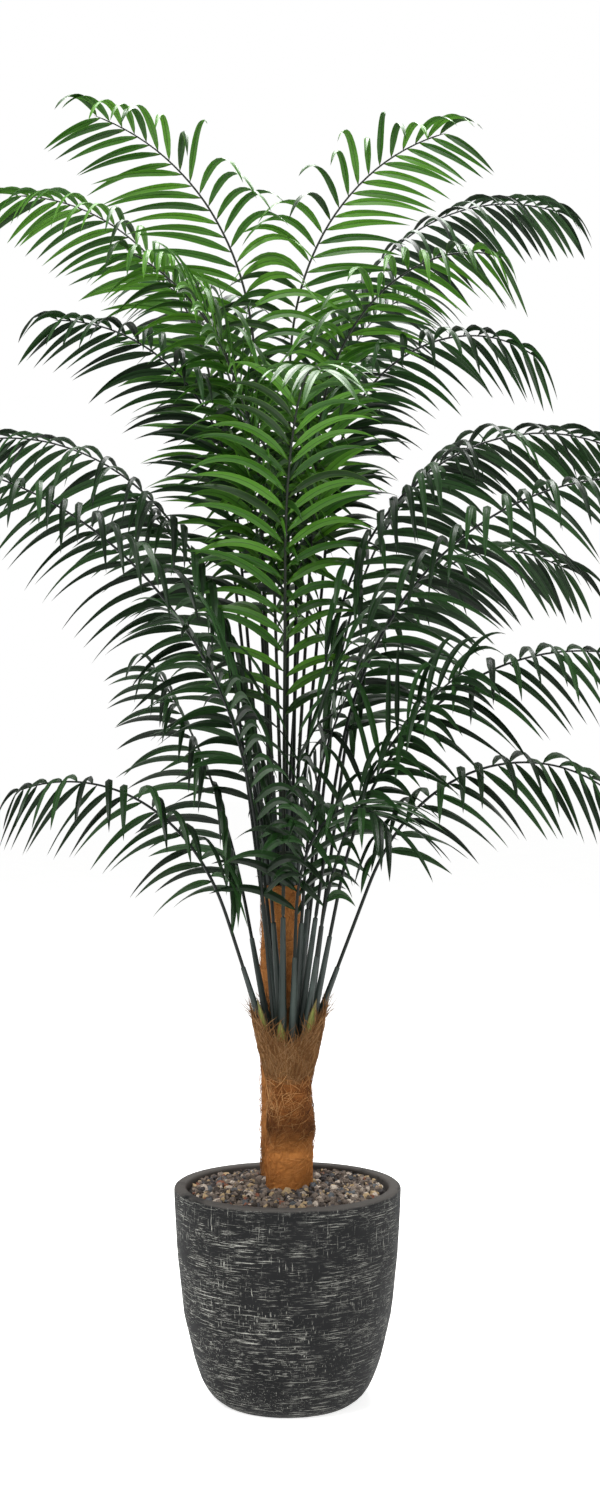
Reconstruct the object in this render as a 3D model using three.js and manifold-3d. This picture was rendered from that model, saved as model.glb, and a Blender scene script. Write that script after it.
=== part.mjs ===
// A tall palm in a round tapered pot: two fibre-wrapped trunks, stem sleeves that stand in their tops,
// and 27 arching feather fronds. Millimetres, +Z up, origin at the centre of the pot's flat base.
import * as THREE from "three";
import { mergeVertices } from "three/addons/utils/BufferGeometryUtils.js";
import Module from "manifold-3d";

const wasm = await Module();
wasm.setup();

const GAP = 0.4; // clearance kept between neighbouring pieces
const UP = new THREE.Vector3(0, 0, 1);

// ---- Driving dimensions ------------------------------------------------------------------------

const POT = {
  height: 374,
  baseRadius: 120,
  rimRadius: 200,
  wall: 21,
  floor: 30,
  lip: { width: 8, edge: 2, depth: 3 }, // rounding of the rim's top
  segments: 28,
  // outer wall from the base up, as [radius, height]
  outer: [[137, 12], [151.5, 36], [165.6, 75], [183, 151], [195, 258], [200, 364]],
};

const SOIL = { top: 338, trunkFoot: 110 };

const GRAVEL = {
  edge: 360,
  mound: 7, // how much higher the middle is than the edge
  inset: 6, // how far it stays off the pot's wall
  bump: 4, // height of the pebbly unevenness
  fine: [9, 11], // lengths of its waves along x and y
  broad: [23, 17],
  rings: 5,
  segments: 24,
};

const TRUNKS = {
  front: {
    place: [2, 0],
    top: 600,
    waist: 38,
    // [radius, height] from the foot to the top, widening under the collar
    profile: [[38, 364], [41, 417], [39.5, 440], [42, 477], [40, 509], [38, 545], [40, 568], [45.5, 588],
      [46.2, 600]],
  },
  rear: {
    place: [-12, 106],
    top: 896,
    waist: 36,
    profile: [[36, 364], [37, 480], [35.5, 600], [37, 720], [36, 820], [34.5, 896]],
  },
};
const TRUNK_SEGMENTS = 16;
const TRUNK_PLAY = 2.8; // clearance round a trunk in the soil and gravel

const COLLAR = {
  segments: 24,
  // closed section of the flared fibre ring, as [radius, height]
  section: [[46.9, 590], [50, 590], [56.5, 600], [60, 625], [63.5, 650], [66.5, 669], [64.3, 671], [61, 650],
    [57.6, 625], [54.2, 597], [46.9, 597]],
};

const SHEATH = {
  thickness: 2.5,
  foot: 597.6,
  radius: 47.4, // of the inner face at its foot
  flare: 9.5, // degrees outwards
  // share of its height and of its half width at the shoulder, and where the point starts to close
  shoulder: [0.45, 0.95],
  point: [0.85, 0.6],
  // [name, direction in degrees, width, height]
  tips: [["sheath_left", 214, 20, 98], ["sheath_centre", 255, 22, 72], ["sheath_right", 316, 20, 98]],
};

const SLEEVE = {
  radius: 7.2,
  bore: 5.6,
  sides: 6,
  rooted: 15, // length inside the trunk's top
  socket: 20, // depth of the bore that holds the leaf stalk
};

const STALK = {
  foot: 3.2, // half of its square section in the socket
  end: 1.5, // and at the blade's tip
  sides: 4,
  curl: 1.3, // how late the bend comes along the free length
  taper: 1.5, // how late it thins
  step: 130, // along the bare stalk
  steps: 60, // in its centre line
};

const LEAFLET = {
  spacing: 98, // along the blade
  rings: [[0, 0.34], [0.5, 1], [1, 0]], // [share of its length, share of its full width]
  spread: 50, // degrees from the stalk at the blade's foot
  close: 0.45, // share by which that has closed at its tip
  width: 18,
  narrowing: 0.22, // share of the width lost by the blade's tip
  thickness: 1.2,
  length: 190,
  tipLoss: 0.4, // shares of the length lost at the blade's tip and at its foot
  footLoss: 0.25,
  vee: 38, // degrees that the two rows rise above the blade's plane
  flattening: 0.25, // share of that lost by the blade's tip; a downward vee grows from foot to tip
  sag: 1.15,
  arch: 1.1, // how late along a leaflet its sag shows
  steps: 8, // straight steps in its centre line
};

// A blade stands on edge when its twist and any downward vee turn its lower row by this many degrees.
// Its upper row then sets out more squarely, and falls over if the rows rise above the blade's plane.
const ON_EDGE = { turn: 90, spread: 70, sag: 2.6 };

// Each frond, by where it goes. foot is [x, y] from its trunk's centre; heading, lean, droop, twist and
// vee are degrees: the way it points, its first lean from upright, the bend added by its tip, the turn
// of its blade about the stalk, and the rise of its leaflets. hold is the straight share of its length.
// spread is the angle between its stalk and first leaflets. A sleeve of 0 means a bare stalk that stands
// in the trunk.
const FRONDS = [
  { name: "crown_left", trunk: "rear", foot: [-8, -2], heading: 198, lean: 2.5, droop: 74, hold: 0.62,
    length: 1505, blade: 955, sleeve: 200, twist: 108, leaf: 210, sag: 0.65,
    vee: 20, spread: 60, tone: "bright" },
  { name: "crown_right", trunk: "rear", foot: [8, 2], heading: -25, lean: 0.5, droop: 84, hold: 0.62,
    length: 1485, blade: 945, sleeve: 180, twist: -108, leaf: 205, sag: 0.65,
    vee: 20, spread: 60, tone: "bright" },
  { name: "upper_left", trunk: "rear", foot: [-23, 9], heading: 170, lean: 6.5, droop: 81, hold: 0.57,
    length: 1490, blade: 800, sleeve: 190, twist: 105, leaf: 190, sag: 0.95, tone: "bright" },
  { name: "left_near", trunk: "rear", foot: [-13, -22], heading: 215, lean: 2.5, droop: 72, hold: 0.56,
    length: 1230, blade: 760, sleeve: 160, twist: 110, leaf: 200, tone: "bright" },
  { name: "left_middle", trunk: "rear", foot: [-23, -8], heading: 195, lean: 5, droop: 90, hold: 0.55,
    length: 1200, blade: 720, sleeve: 150, twist: 110, leaf: 190, sag: 0.9, tone: "dark" },
  { name: "left_inner", trunk: "front", foot: [-8, 28], heading: 160, lean: 7, droop: 44, hold: 0.5,
    length: 1080, blade: 640, sleeve: 0, twist: 105, leaf: 200, tone: "dark" },
  { name: "left_arch", trunk: "front", foot: [-12, 5], heading: 165, lean: 7.5, droop: 95, hold: 0.44,
    length: 1450, blade: 760, sleeve: 270, twist: 110, leaf: 200, tone: "dark" },
  { name: "left_long", trunk: "front", foot: [-9, -16], heading: 212, lean: 5, droop: 76, hold: 0.2,
    length: 1270, blade: 760, sleeve: 240, twist: 110, leaf: 205, tone: "dark" },
  { name: "left_low", trunk: "front", foot: [-30, -4], heading: 205, lean: 19, droop: 92, hold: 0.33,
    length: 760, blade: 440, sleeve: 170, twist: 110, leaf: 180, tone: "dark" },
  { name: "left_behind", trunk: "front", foot: [-28, 23], heading: 145, lean: 13, droop: 28, hold: 0.3,
    length: 760, blade: 480, sleeve: 210, twist: 100, tone: "dark" },
  { name: "front_tall", trunk: "front", foot: [-11, -35], heading: -80, lean: 2, droop: 115, hold: 0.62,
    length: 1390, blade: 800, sleeve: 250, twist: 0, leaf: 205, sag: 1.1, vee: 20, tone: "bright" },
  { name: "inner_left", trunk: "rear", foot: [4, -25], heading: 235, lean: 3, droop: 52, hold: 0.45,
    length: 1110, blade: 700, sleeve: 150, twist: 60, leaf: 200, sag: 1.1, vee: 24, tone: "bright" },
  { name: "right_upper", trunk: "rear", foot: [19, 16], heading: 28, lean: 1, droop: 98, hold: 0.41,
    length: 1660, blade: 820, sleeve: 170, twist: -110, tone: "dark" },
  { name: "right_bright", trunk: "rear", foot: [19, -16], heading: -35, lean: 4, droop: 110, hold: 0.57,
    length: 1355, blade: 760, sleeve: 160, twist: -115, leaf: 195, sag: 0.8, tone: "bright" },
  { name: "right_middle", trunk: "rear", foot: [25, 0], heading: -20, lean: 5.5, droop: 125, hold: 0.56,
    length: 1260, blade: 680, sleeve: 180, twist: -105, tone: "dark" },
  { name: "right_behind", trunk: "front", foot: [10, 33], heading: 25, lean: 7, droop: 46, hold: 0.5,
    length: 1200, blade: 640, sleeve: 0, twist: -105, leaf: 200, tone: "dark" },
  { name: "right_arch", trunk: "front", foot: [9, 16], heading: 12, lean: 5.5, droop: 114, hold: 0.44,
    length: 1520, blade: 760, sleeve: 260, twist: -110, leaf: 200, tone: "dark" },
  { name: "right_long", trunk: "front", foot: [12, -3], heading: -25, lean: 9, droop: 88, hold: 0.36,
    length: 1320, blade: 760, sleeve: 250, twist: -110, leaf: 205, tone: "dark" },
  { name: "right_shoulder", trunk: "front", foot: [28, 23], heading: 32, lean: 9, droop: 106, hold: 0.42,
    length: 1270, blade: 700, sleeve: 230, twist: -105, leaf: 200, sag: 0.85, tone: "dark" },
  { name: "right_low", trunk: "front", foot: [30, -11], heading: -22, lean: 12, droop: 98, hold: 0.28,
    length: 1070, blade: 640, sleeve: 220, twist: -110, tone: "dark" },
  { name: "right_lowest", trunk: "front", foot: [27, 7], heading: -12, lean: 21, droop: 128, hold: 0.34,
    length: 930, blade: 560, sleeve: 170, twist: -105, leaf: 180, tone: "dark" },
  { name: "front_right", trunk: "front", foot: [6, -18], heading: -44, lean: 5.5, droop: 36, hold: 0.45,
    length: 720, blade: 440, sleeve: 240, twist: -40, vee: 24, tone: "dark" },
  { name: "front_left", trunk: "front", foot: [-22, -27], heading: -125, lean: 8, droop: 45, hold: 0.4,
    length: 820, blade: 540, sleeve: 0, twist: 35, leaf: 190, vee: 24, tone: "dark" },
  { name: "front_low", trunk: "front", foot: [5.5, -36], heading: -55, lean: 3, droop: 127, hold: 0.38,
    length: 640, blade: 400, sleeve: 180, twist: 0, leaf: 205, sag: 1.15, vee: 20, tone: "dark" },
  { name: "right_inner", trunk: "front", foot: [23, -28], heading: -35, lean: 10, droop: 50, hold: 0.25,
    length: 780, blade: 520, sleeve: 185, twist: -70, vee: 28, tone: "dark" },
  { name: "back_left", trunk: "rear", foot: [-13, 22], heading: 125, lean: 5, droop: 66, hold: 0.45,
    length: 1360, blade: 740, sleeve: 170, twist: 40, vee: 24, tone: "dark" },
  { name: "back_right", trunk: "rear", foot: [4, 25], heading: 55, lean: 6, droop: 70, hold: 0.45,
    length: 1360, blade: 740, sleeve: 190, twist: -40, vee: 24, tone: "dark" },
];

// ---- Materials ---------------------------------------------------------------------------------

function finish(color, roughness) {
  return () => new THREE.MeshStandardMaterial({ color, roughness, metalness: 0 });
}

const FINISHES = {
  pot: finish("#3a3a3b", 0.85),
  soil: finish("#3a2c22", 0.95),
  gravel: finish("#6f665d", 0.9),
  coir: finish("#97622f", 0.95),
  sheath: finish("#6b6a3a", 0.7),
  sleeve: finish("#2c3934", 0.5),
  bright: finish("#3d6f18", 0.45),
  dark: finish("#17301a", 0.4),
};

// ---- Solids ------------------------------------------------------------------------------------

/** The closed solid of a geometry: shared vertices merged and collapsed triangles dropped. */
function solidOf(geometry) {
  const bare = geometry.index ? geometry.toNonIndexed() : geometry.clone();
  bare.deleteAttribute("normal");
  bare.deleteAttribute("uv");
  const merged = mergeVertices(bare, 1e-3);
  const corners = Array.from(merged.index.array);
  const kept = [];
  for (let i = 0; i < corners.length; i += 3) {
    const [a, b, c] = corners.slice(i, i + 3);
    if (a !== b && b !== c && c !== a) kept.push(a, b, c);
  }
  return new wasm.Manifold(
    new wasm.Mesh({
      numProp: 3,
      vertProperties: merged.getAttribute("position").array,
      triVerts: new Uint32Array(kept),
    }),
  );
}

function geometryOf(solid) {
  const mesh = solid.getMesh();
  const geometry = new THREE.BufferGeometry();
  geometry.setAttribute("position", new THREE.BufferAttribute(mesh.vertProperties, 3));
  geometry.setIndex(new THREE.BufferAttribute(mesh.triVerts, 1));
  geometry.computeVertexNormals();
  return geometry;
}

/** A solid of revolution about a vertical axis, from [radius, height] points listed upwards. */
function revolve(points, segments, [x, y] = [0, 0]) {
  const profile = points.map(([radius, height]) => new THREE.Vector2(radius, height));
  const lathe = new THREE.LatheGeometry(profile, segments);
  return solidOf(lathe.rotateX(Math.PI / 2).translate(x, y, 0));
}

/** Moves each vertex of a geometry with place(vertex), which changes the vertex it is given. */
function reshape(geometry, place) {
  const position = geometry.getAttribute("position");
  const vertex = new THREE.Vector3();
  for (let i = 0; i < position.count; i += 1) {
    vertex.fromBufferAttribute(position, i);
    place(vertex);
    position.setXYZ(i, vertex.x, vertex.y, vertex.z);
  }
  return geometry;
}

function direction(lean, heading) {
  const tilt = THREE.MathUtils.degToRad(lean);
  const turn = THREE.MathUtils.degToRad(heading);
  return new THREE.Vector3(
    Math.sin(tilt) * Math.cos(turn),
    Math.sin(tilt) * Math.sin(turn),
    Math.cos(tilt),
  );
}

// ---- Pot and what fills it ---------------------------------------------------------------------

/** The pot's inner wall, upwards, moved in by the given clearance. */
function innerWall(clearance) {
  const wall = POT.outer
    .filter(([, height]) => height > POT.floor)
    .map(([radius, height]) => [radius - POT.wall - clearance, height]);
  const floorRadius = POT.outer[0][0] - POT.wall - clearance;
  return [[0, POT.floor + clearance], [floorRadius, POT.floor + clearance], ...wall];
}

function makePot() {
  const { height, rimRadius, wall, lip } = POT;
  const rimTop = [
    [rimRadius - lip.edge, height - lip.depth],
    [rimRadius - lip.width, height],
    [rimRadius - wall + lip.width, height],
    [rimRadius - wall + lip.edge, height - lip.depth],
  ];
  const outside = [[0, 0], [POT.baseRadius, 0], ...POT.outer];
  return revolve([...outside, ...rimTop, ...innerWall(0).reverse()], POT.segments);
}

/** Upright bores for both trunks, wider than them by the gap. */
function trunkBores() {
  const bores = Object.values(TRUNKS).map(({ place, waist }) => {
    const radius = waist + TRUNK_PLAY;
    return revolve([[0, SOIL.trunkFoot - GAP], [radius, SOIL.trunkFoot - GAP], [radius, POT.height],
      [0, POT.height]], TRUNK_SEGMENTS, place);
  });
  return bores[0].add(bores[1]);
}

function makeSoil() {
  const wall = innerWall(GAP).filter(([, height]) => height < SOIL.top);
  const last = wall[wall.length - 1];
  const plug = revolve([...wall, [last[0], SOIL.top], [0, SOIL.top]], POT.segments);
  return plug.subtract(trunkBores());
}

/** Unevenness of the pebble layer's top, between -1 and 1: a fine wave and a broad one. */
function pebbleWave({ x, y }) {
  const { fine, broad } = GRAVEL;
  return (Math.sin(x / fine[0]) * Math.cos(y / fine[1]) + Math.sin(x / broad[0] - y / broad[1])) / 2;
}

/** The pebble layer: flat below, mounded and uneven above. */
function makeGravel() {
  const radius = POT.rimRadius - POT.wall - GRAVEL.inset;
  const foot = SOIL.top + GAP;
  const rings = Array.from({ length: GRAVEL.rings }, (_, i) => 1 - i / GRAVEL.rings);
  const top = rings.map((share) => [radius * share, GRAVEL.edge + GRAVEL.mound * (1 - share ** 2)]);
  const profile = [[0, foot], [radius, foot], ...top, [0, GRAVEL.edge + GRAVEL.mound]];
  const lathe = new THREE.LatheGeometry(profile.map(([r, h]) => new THREE.Vector2(r, h)), GRAVEL.segments);
  const pebbly = reshape(lathe.rotateX(Math.PI / 2), (vertex) => {
    if (vertex.z > foot + GAP) vertex.z += GRAVEL.bump * pebbleWave(vertex);
  });
  return solidOf(pebbly).subtract(trunkBores());
}

// ---- Trunks, collar and leaf sheaths -----------------------------------------------------------

function makeTrunk(name) {
  const { place, top, waist, profile } = TRUNKS[name];
  const foot = SOIL.trunkFoot;
  const points = [[0, foot], [waist, foot], ...profile, [0, top]];
  const sockets = FRONDS.filter((frond) => frond.trunk === name).map(rootBore);
  return sockets.reduce((trunk, socket) => trunk.subtract(socket), revolve(points, TRUNK_SEGMENTS, place));
}

function makeCollar() {
  const closed = [...COLLAR.section, COLLAR.section[0]];
  return revolve(closed, COLLAR.segments, TRUNKS.front.place);
}

/** A pointed leaf base that stands in the collar, leaning outwards with it. */
function makeSheath(heading, width, height) {
  const half = width / 2;
  const [shoulderUp, shoulderOut] = [SHEATH.shoulder[0] * height, SHEATH.shoulder[1] * half];
  const [pointUp, pointOut] = [SHEATH.point[0] * height, SHEATH.point[1] * half];
  const outline = new THREE.Shape();
  outline.moveTo(-half, 0);
  outline.lineTo(half, 0);
  outline.lineTo(shoulderOut, shoulderUp);
  outline.quadraticCurveTo(pointOut, pointUp, 0, height);
  outline.quadraticCurveTo(-pointOut, pointUp, -shoulderOut, shoulderUp);
  const plate = new THREE.ExtrudeGeometry(outline, {
    depth: SHEATH.thickness,
    bevelEnabled: false,
    curveSegments: 4,
  });
  const [x, y] = TRUNKS.front.place;
  plate.rotateX(Math.PI / 2).rotateZ(Math.PI / 2);
  plate.rotateY(THREE.MathUtils.degToRad(SHEATH.flare));
  plate.translate(SHEATH.radius, 0, SHEATH.foot);
  plate.rotateZ(THREE.MathUtils.degToRad(heading)).translate(x, y, 0);
  return solidOf(plate);
}

// ---- Stem sleeves ------------------------------------------------------------------------------

function footOf(frond) {
  const { place, top } = TRUNKS[frond.trunk];
  return new THREE.Vector3(place[0] + frond.foot[0], place[1] + frond.foot[1], top);
}

/** A prism along the frond's first direction, between two distances from the trunk's top. */
function sleevePrism(frond, radius, from, to) {
  const prism = new THREE.CylinderGeometry(radius, radius, to - from, SLEEVE.sides);
  const along = direction(frond.lean, frond.heading);
  prism.rotateX(Math.PI / 2).translate(0, 0, (from + to) / 2);
  prism.applyQuaternion(new THREE.Quaternion().setFromUnitVectors(UP, along));
  const { x, y, z } = footOf(frond);
  return solidOf(prism.translate(x, y, z));
}

function sleeveCore(frond, clearance) {
  return sleevePrism(frond, SLEEVE.radius + clearance, -SLEEVE.rooted - clearance, frond.sleeve);
}

/** The hole that a frond needs in its trunk's top, for its sleeve or for its bare stalk. */
function rootBore(frond) {
  if (frond.sleeve > 0) return sleeveCore(frond, GAP);
  return sleevePrism(frond, SLEEVE.bore, -SLEEVE.rooted - GAP, SLEEVE.rooted);
}

function makeSleeve(frond) {
  const bore = sleevePrism(frond, SLEEVE.bore, frond.sleeve - SLEEVE.socket, frond.sleeve + 1);
  return sleeveCore(frond, 0).subtract(bore);
}

// ---- Fronds ------------------------------------------------------------------------------------

/**
 * The stalk's centre line, from the trunk's top to the blade's tip. It leaves along its first lean,
 * then bends over in one upright plane; the blade's side and face turn about it by the twist.
 */
class StalkLine {
  constructor(frond) {
    this.frond = frond;
    this.points = [footOf(frond)];
    for (let i = 1; i <= STALK.steps; i += 1) {
      const step = this.along((i - 0.5) / STALK.steps).multiplyScalar(frond.length / STALK.steps);
      this.points.push(this.points[i - 1].clone().add(step));
    }
  }

  leanAt(share) {
    const { lean, droop, hold } = this.frond;
    const bent = Math.max(0, (share - hold) / (1 - hold)) ** STALK.curl;
    return lean + droop * bent;
  }

  along(share) {
    return direction(this.leanAt(share), this.frond.heading);
  }

  /** The point at a share of the length; before the trunk's top it goes straight on down. */
  pointAt(share) {
    if (share < 0) return this.points[0].clone().addScaledVector(this.along(0), share * this.frond.length);
    const place = Math.min(share, 1) * STALK.steps;
    const index = Math.min(Math.floor(place), STALK.steps - 1);
    return this.points[index].clone().lerp(this.points[index + 1], place - index);
  }

  /** The point, the direction along the stalk, and the blade's side and face there. */
  frameAt(share) {
    const along = this.along(share);
    const up = direction(this.leanAt(share) - 90, this.frond.heading);
    const across = new THREE.Vector3().crossVectors(along, up);
    const twist = THREE.MathUtils.degToRad(this.frond.twist);
    const side = across.clone().multiplyScalar(Math.cos(twist)).addScaledVector(up, Math.sin(twist));
    const face = up.clone().multiplyScalar(Math.cos(twist)).addScaledVector(across, -Math.sin(twist));
    return { point: this.pointAt(share), along, side, face };
  }

  /** Half of the stalk's square section at a share of its length. */
  halfAt(share) {
    return THREE.MathUtils.lerp(STALK.foot, STALK.end, Math.max(0, share) ** STALK.taper);
  }
}

/** The shares of the frond's length between which its pairs of leaflets stand, one pair to a stretch. */
function stretchShares({ blade, length }) {
  const pairs = Math.round(blade / LEAFLET.spacing);
  return Array.from({ length: pairs + 1 }, (_, i) => 1 - (blade / length) * (1 - i / pairs));
}

/** The shares at which the stalk's outline is set out: along the bare stalk, then the blade's stretches. */
function stalkShares(frond) {
  const foot = (frond.sleeve > 0 ? frond.sleeve - SLEEVE.socket + GAP : -SLEEVE.rooted) / frond.length;
  const stretches = stretchShares(frond);
  const steps = Math.ceil(((stretches[0] - foot) * frond.length) / STALK.step);
  const bare = Array.from({ length: steps }, (_, i) => THREE.MathUtils.lerp(foot, stretches[0], i / steps));
  return [...bare, ...stretches];
}

/** The stalk through the given shares of its length, as a square section carried along the line. */
function stalkPiece(line, shares) {
  const steps = shares.length - 1;
  const rod = new THREE.CylinderGeometry(Math.SQRT2, Math.SQRT2, 1, STALK.sides, steps);
  rod.rotateY(Math.PI / 4).translate(0, 0.5, 0);
  return solidOf(reshape(rod, (vertex) => {
    const share = shares[Math.round(vertex.y * steps)];
    const { point, side, face } = line.frameAt(share);
    const half = line.halfAt(share);
    const [acrossSide, acrossFace] = [vertex.x * half, vertex.z * half];
    vertex.copy(point).addScaledVector(side, acrossSide).addScaledVector(face, acrossFace);
  }));
}

/** A leaflet's share of the longest length: shorter at the blade's foot and towards its tip. */
function leafletSize(up) {
  return (1 - LEAFLET.tipLoss * up ** 3) * (1 - LEAFLET.footLoss * (1 - up) ** 6);
}

/** Whether a row is the upper one of a blade that stands on edge. */
function isUpperRow({ twist, vee = LEAFLET.vee }, row) {
  return row * twist > 0 && Math.abs(twist) - Math.min(0, vee) >= ON_EDGE.turn;
}

/** Where a leaflet's centre line runs: it sets out at an angle to the stalk and sags as it goes. */
function leafletLine(line, [from, to], row, lengthShare, lift) {
  const { leaf = LEAFLET.length, sag = LEAFLET.sag, vee = LEAFLET.vee, spread = LEAFLET.spread } = line.frond;
  const share = (from + to) / 2;
  const { along, side, face } = line.frameAt(share);
  const bladeFoot = 1 - line.frond.blade / line.frond.length;
  const up = (share - bladeFoot) / (1 - bladeFoot);
  const upper = isUpperRow(line.frond, row);
  const open = THREE.MathUtils.degToRad((upper ? ON_EDGE.spread : spread) * (1 - LEAFLET.close * up ** 2));
  const risen = vee * (vee > 0 ? 1 - LEAFLET.flattening * up : up);
  const rise = THREE.MathUtils.degToRad(risen + lift);
  const out = side.clone().multiplyScalar(row * Math.cos(rise)).addScaledVector(face, Math.sin(rise));
  const start = along.clone().multiplyScalar(Math.cos(open)).addScaledVector(out, Math.sin(open));
  const fall = sag * (upper && vee > 0 ? ON_EDGE.sag : 1);
  const { steps } = LEAFLET;
  const step = (leaf * lengthShare * leafletSize(up)) / steps;
  const points = [line.pointAt(from).lerp(line.pointAt(to), 0.5)];
  for (let i = 0; i < steps; i += 1) {
    const way = start.clone().addScaledVector(UP, -fall * ((i + 0.5) / steps) ** LEAFLET.arch).normalize();
    points.push(points[i].clone().addScaledVector(way, step));
  }
  const flat = new THREE.Vector3().crossVectors(face, start).multiplyScalar(row).normalize();
  return { points, flat, width: LEAFLET.width * (1 - LEAFLET.narrowing * up), row };
}

/** A thin pointed leaflet, flat above and keeled below, rooted inside the stalk. */
function leafletSolid({ points, flat, width, row }, swell = 0) {
  const rings = LEAFLET.rings.length - 1;
  const blade = new THREE.ConeGeometry(1, 1, 3, rings).translate(0, 0.5, 0);
  blade.rotateY(row > 0 ? 0 : Math.PI);
  const steps = points.length - 1;
  return solidOf(reshape(blade, (vertex) => {
    const ring = Math.round(vertex.y * rings);
    const [share, wide] = LEAFLET.rings[ring];
    const index = Math.min(Math.floor(share * steps), steps - 1);
    const centre = points[index].clone().lerp(points[index + 1], share * steps - index);
    const way = points[index + 1].clone().sub(points[index]).normalize();
    const thick = new THREE.Vector3().crossVectors(flat, way).normalize();
    const full = ring === rings ? 0 : 1 / (1 - ring / rings);
    const half = (wide * width + swell) / Math.sqrt(3);
    const depth = (LEAFLET.thickness + swell) / 1.5;
    const [acrossFlat, acrossThick] = [vertex.x * full * half, vertex.z * full * depth];
    vertex.copy(centre).addScaledVector(flat, acrossFlat).addScaledVector(thick, acrossThick);
  }));
}

/** Solids already placed, each with its box, so that a new one can be tested against its neighbours. */
class Obstacles {
  constructor() {
    this.items = [];
  }

  static boxOf(solid) {
    const { min, max } = solid.boundingBox();
    return new THREE.Box3(new THREE.Vector3(...min), new THREE.Vector3(...max));
  }

  add(solid, owner) {
    this.items.push({ solid, owner, box: Obstacles.boxOf(solid) });
  }

  /** Whether the solid is clear of everything that owners other than its own have placed. */
  clear(solid, owner) {
    const box = Obstacles.boxOf(solid);
    return this.items.every((item) =>
      item.owner === owner || !item.box.intersectsBox(box) || item.solid.intersect(solid).isEmpty());
  }
}

const SHRINKS = [1, 0.85, 0.7, 0.55, 0.4, 0.28];
const LIFTS = [0, 7, -7, 14, -14, 22, -22];

/** The first leaflet, trying small lifts and then shorter ones, that is clear of its neighbours. */
function fitLeaflet(line, stretch, row, obstacles) {
  for (const shrink of SHRINKS) {
    for (const lift of LIFTS) {
      const centre = leafletLine(line, stretch, row, shrink, lift);
      if (obstacles.clear(leafletSolid(centre, 2 * GAP), line.frond.name)) return leafletSolid(centre);
    }
  }
  return null;
}

/** One frond: its stalk from inside the sleeve to the tip, and two rows of leaflets. */
function makeFrond(line, obstacles) {
  let solid = stalkPiece(line, stalkShares(line.frond));
  const shares = stretchShares(line.frond);
  for (let pair = 1; pair < shares.length; pair += 1) {
    const stretch = [shares[pair - 1], shares[pair]];
    for (const row of [-1, 1]) {
      const leaflet = fitLeaflet(line, stretch, row, obstacles);
      if (leaflet) {
        obstacles.add(leaflet, line.frond.name);
        solid = solid.add(leaflet);
      }
    }
  }
  return solid;
}

// ---- The palm ----------------------------------------------------------------------------------

const palm = new THREE.Group();

function addMesh(name, solid, finishName) {
  const mesh = new THREE.Mesh(geometryOf(solid), FINISHES[finishName]());
  mesh.name = name;
  palm.add(mesh);
}

addMesh("pot", makePot(), "pot");
addMesh("soil", makeSoil(), "soil");
addMesh("gravel", makeGravel(), "gravel");
addMesh("trunk_front", makeTrunk("front"), "coir");
addMesh("trunk_rear", makeTrunk("rear"), "coir");
addMesh("fibre_collar", makeCollar(), "coir");
for (const [name, heading, width, height] of SHEATH.tips) {
  addMesh(name, makeSheath(heading, width, height), "sheath");
}

const lines = FRONDS.map((frond) => new StalkLine(frond));
const obstacles = new Obstacles();
for (const line of lines) {
  const { frond } = line;
  if (frond.sleeve > 0) {
    const sleeve = makeSleeve(frond);
    addMesh(`stem_${frond.name}`, sleeve, "sleeve");
    obstacles.add(sleeve, frond.name);
  }
  const shares = stalkShares(frond);
  for (let i = 1; i < shares.length; i += 1) {
    obstacles.add(stalkPiece(line, [shares[i - 1], shares[i]]), frond.name);
  }
}
for (const line of lines) {
  addMesh(`frond_${line.frond.name}`, makeFrond(line, obstacles), line.frond.tone);
}

export default palm;
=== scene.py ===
"""Looks of a tall potted palm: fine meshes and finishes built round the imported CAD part.

Metres, +Z up, origin at the centre of the pot's flat base. Sizes are written in millimetres and turned
into metres by MM where they are used.
"""

import logging
import math
from dataclasses import dataclass, field
from enum import Enum

import bpy
import numpy as np
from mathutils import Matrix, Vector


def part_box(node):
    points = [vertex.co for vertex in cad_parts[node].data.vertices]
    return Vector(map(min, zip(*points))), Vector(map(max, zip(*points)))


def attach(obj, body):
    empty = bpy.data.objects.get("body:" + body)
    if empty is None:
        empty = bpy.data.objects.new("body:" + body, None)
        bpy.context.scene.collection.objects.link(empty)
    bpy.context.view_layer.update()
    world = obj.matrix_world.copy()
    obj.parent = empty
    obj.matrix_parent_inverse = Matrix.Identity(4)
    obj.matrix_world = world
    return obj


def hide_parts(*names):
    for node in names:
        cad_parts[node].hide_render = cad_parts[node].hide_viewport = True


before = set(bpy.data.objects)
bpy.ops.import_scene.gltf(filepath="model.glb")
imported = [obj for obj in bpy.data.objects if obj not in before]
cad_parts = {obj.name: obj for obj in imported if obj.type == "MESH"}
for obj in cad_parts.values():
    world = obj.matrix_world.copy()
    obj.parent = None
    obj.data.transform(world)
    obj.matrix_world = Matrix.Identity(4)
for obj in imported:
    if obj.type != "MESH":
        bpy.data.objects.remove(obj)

LOG = logging.getLogger("potted_palm")
MM = 0.001
BODY = "root"
UP = np.array([0.0, 0.0, 1.0])


# ---- Plain vector help ---------------------------------------------------------------------------


def unit(vectors: np.ndarray) -> np.ndarray:
    """Scale each vector to a length of one.

    Args:
        vectors: Any array whose last axis holds x, y and z.

    Returns:
        The same directions, each divided by its own length.
    """
    return vectors / np.maximum(np.linalg.norm(vectors, axis=-1, keepdims=True), 1e-12)


def direction(lean: np.ndarray, heading: np.ndarray) -> np.ndarray:
    """Turn a lean from upright and a compass heading into a direction.

    The horizontal share is the sine of the lean, split by the heading's cosine and sine; the upright
    share is the cosine of the lean.

    Args:
        lean: Degrees away from straight up.
        heading: Degrees round from +X towards +Y.

    Returns:
        Unit vectors of the same shape as the angles, with x, y, z last.
    """
    tilt, turn = np.radians(lean), np.radians(heading)
    level = np.sin(tilt)
    return np.stack(np.broadcast_arrays(level * np.cos(turn), level * np.sin(turn), np.cos(tilt)), -1)


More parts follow.
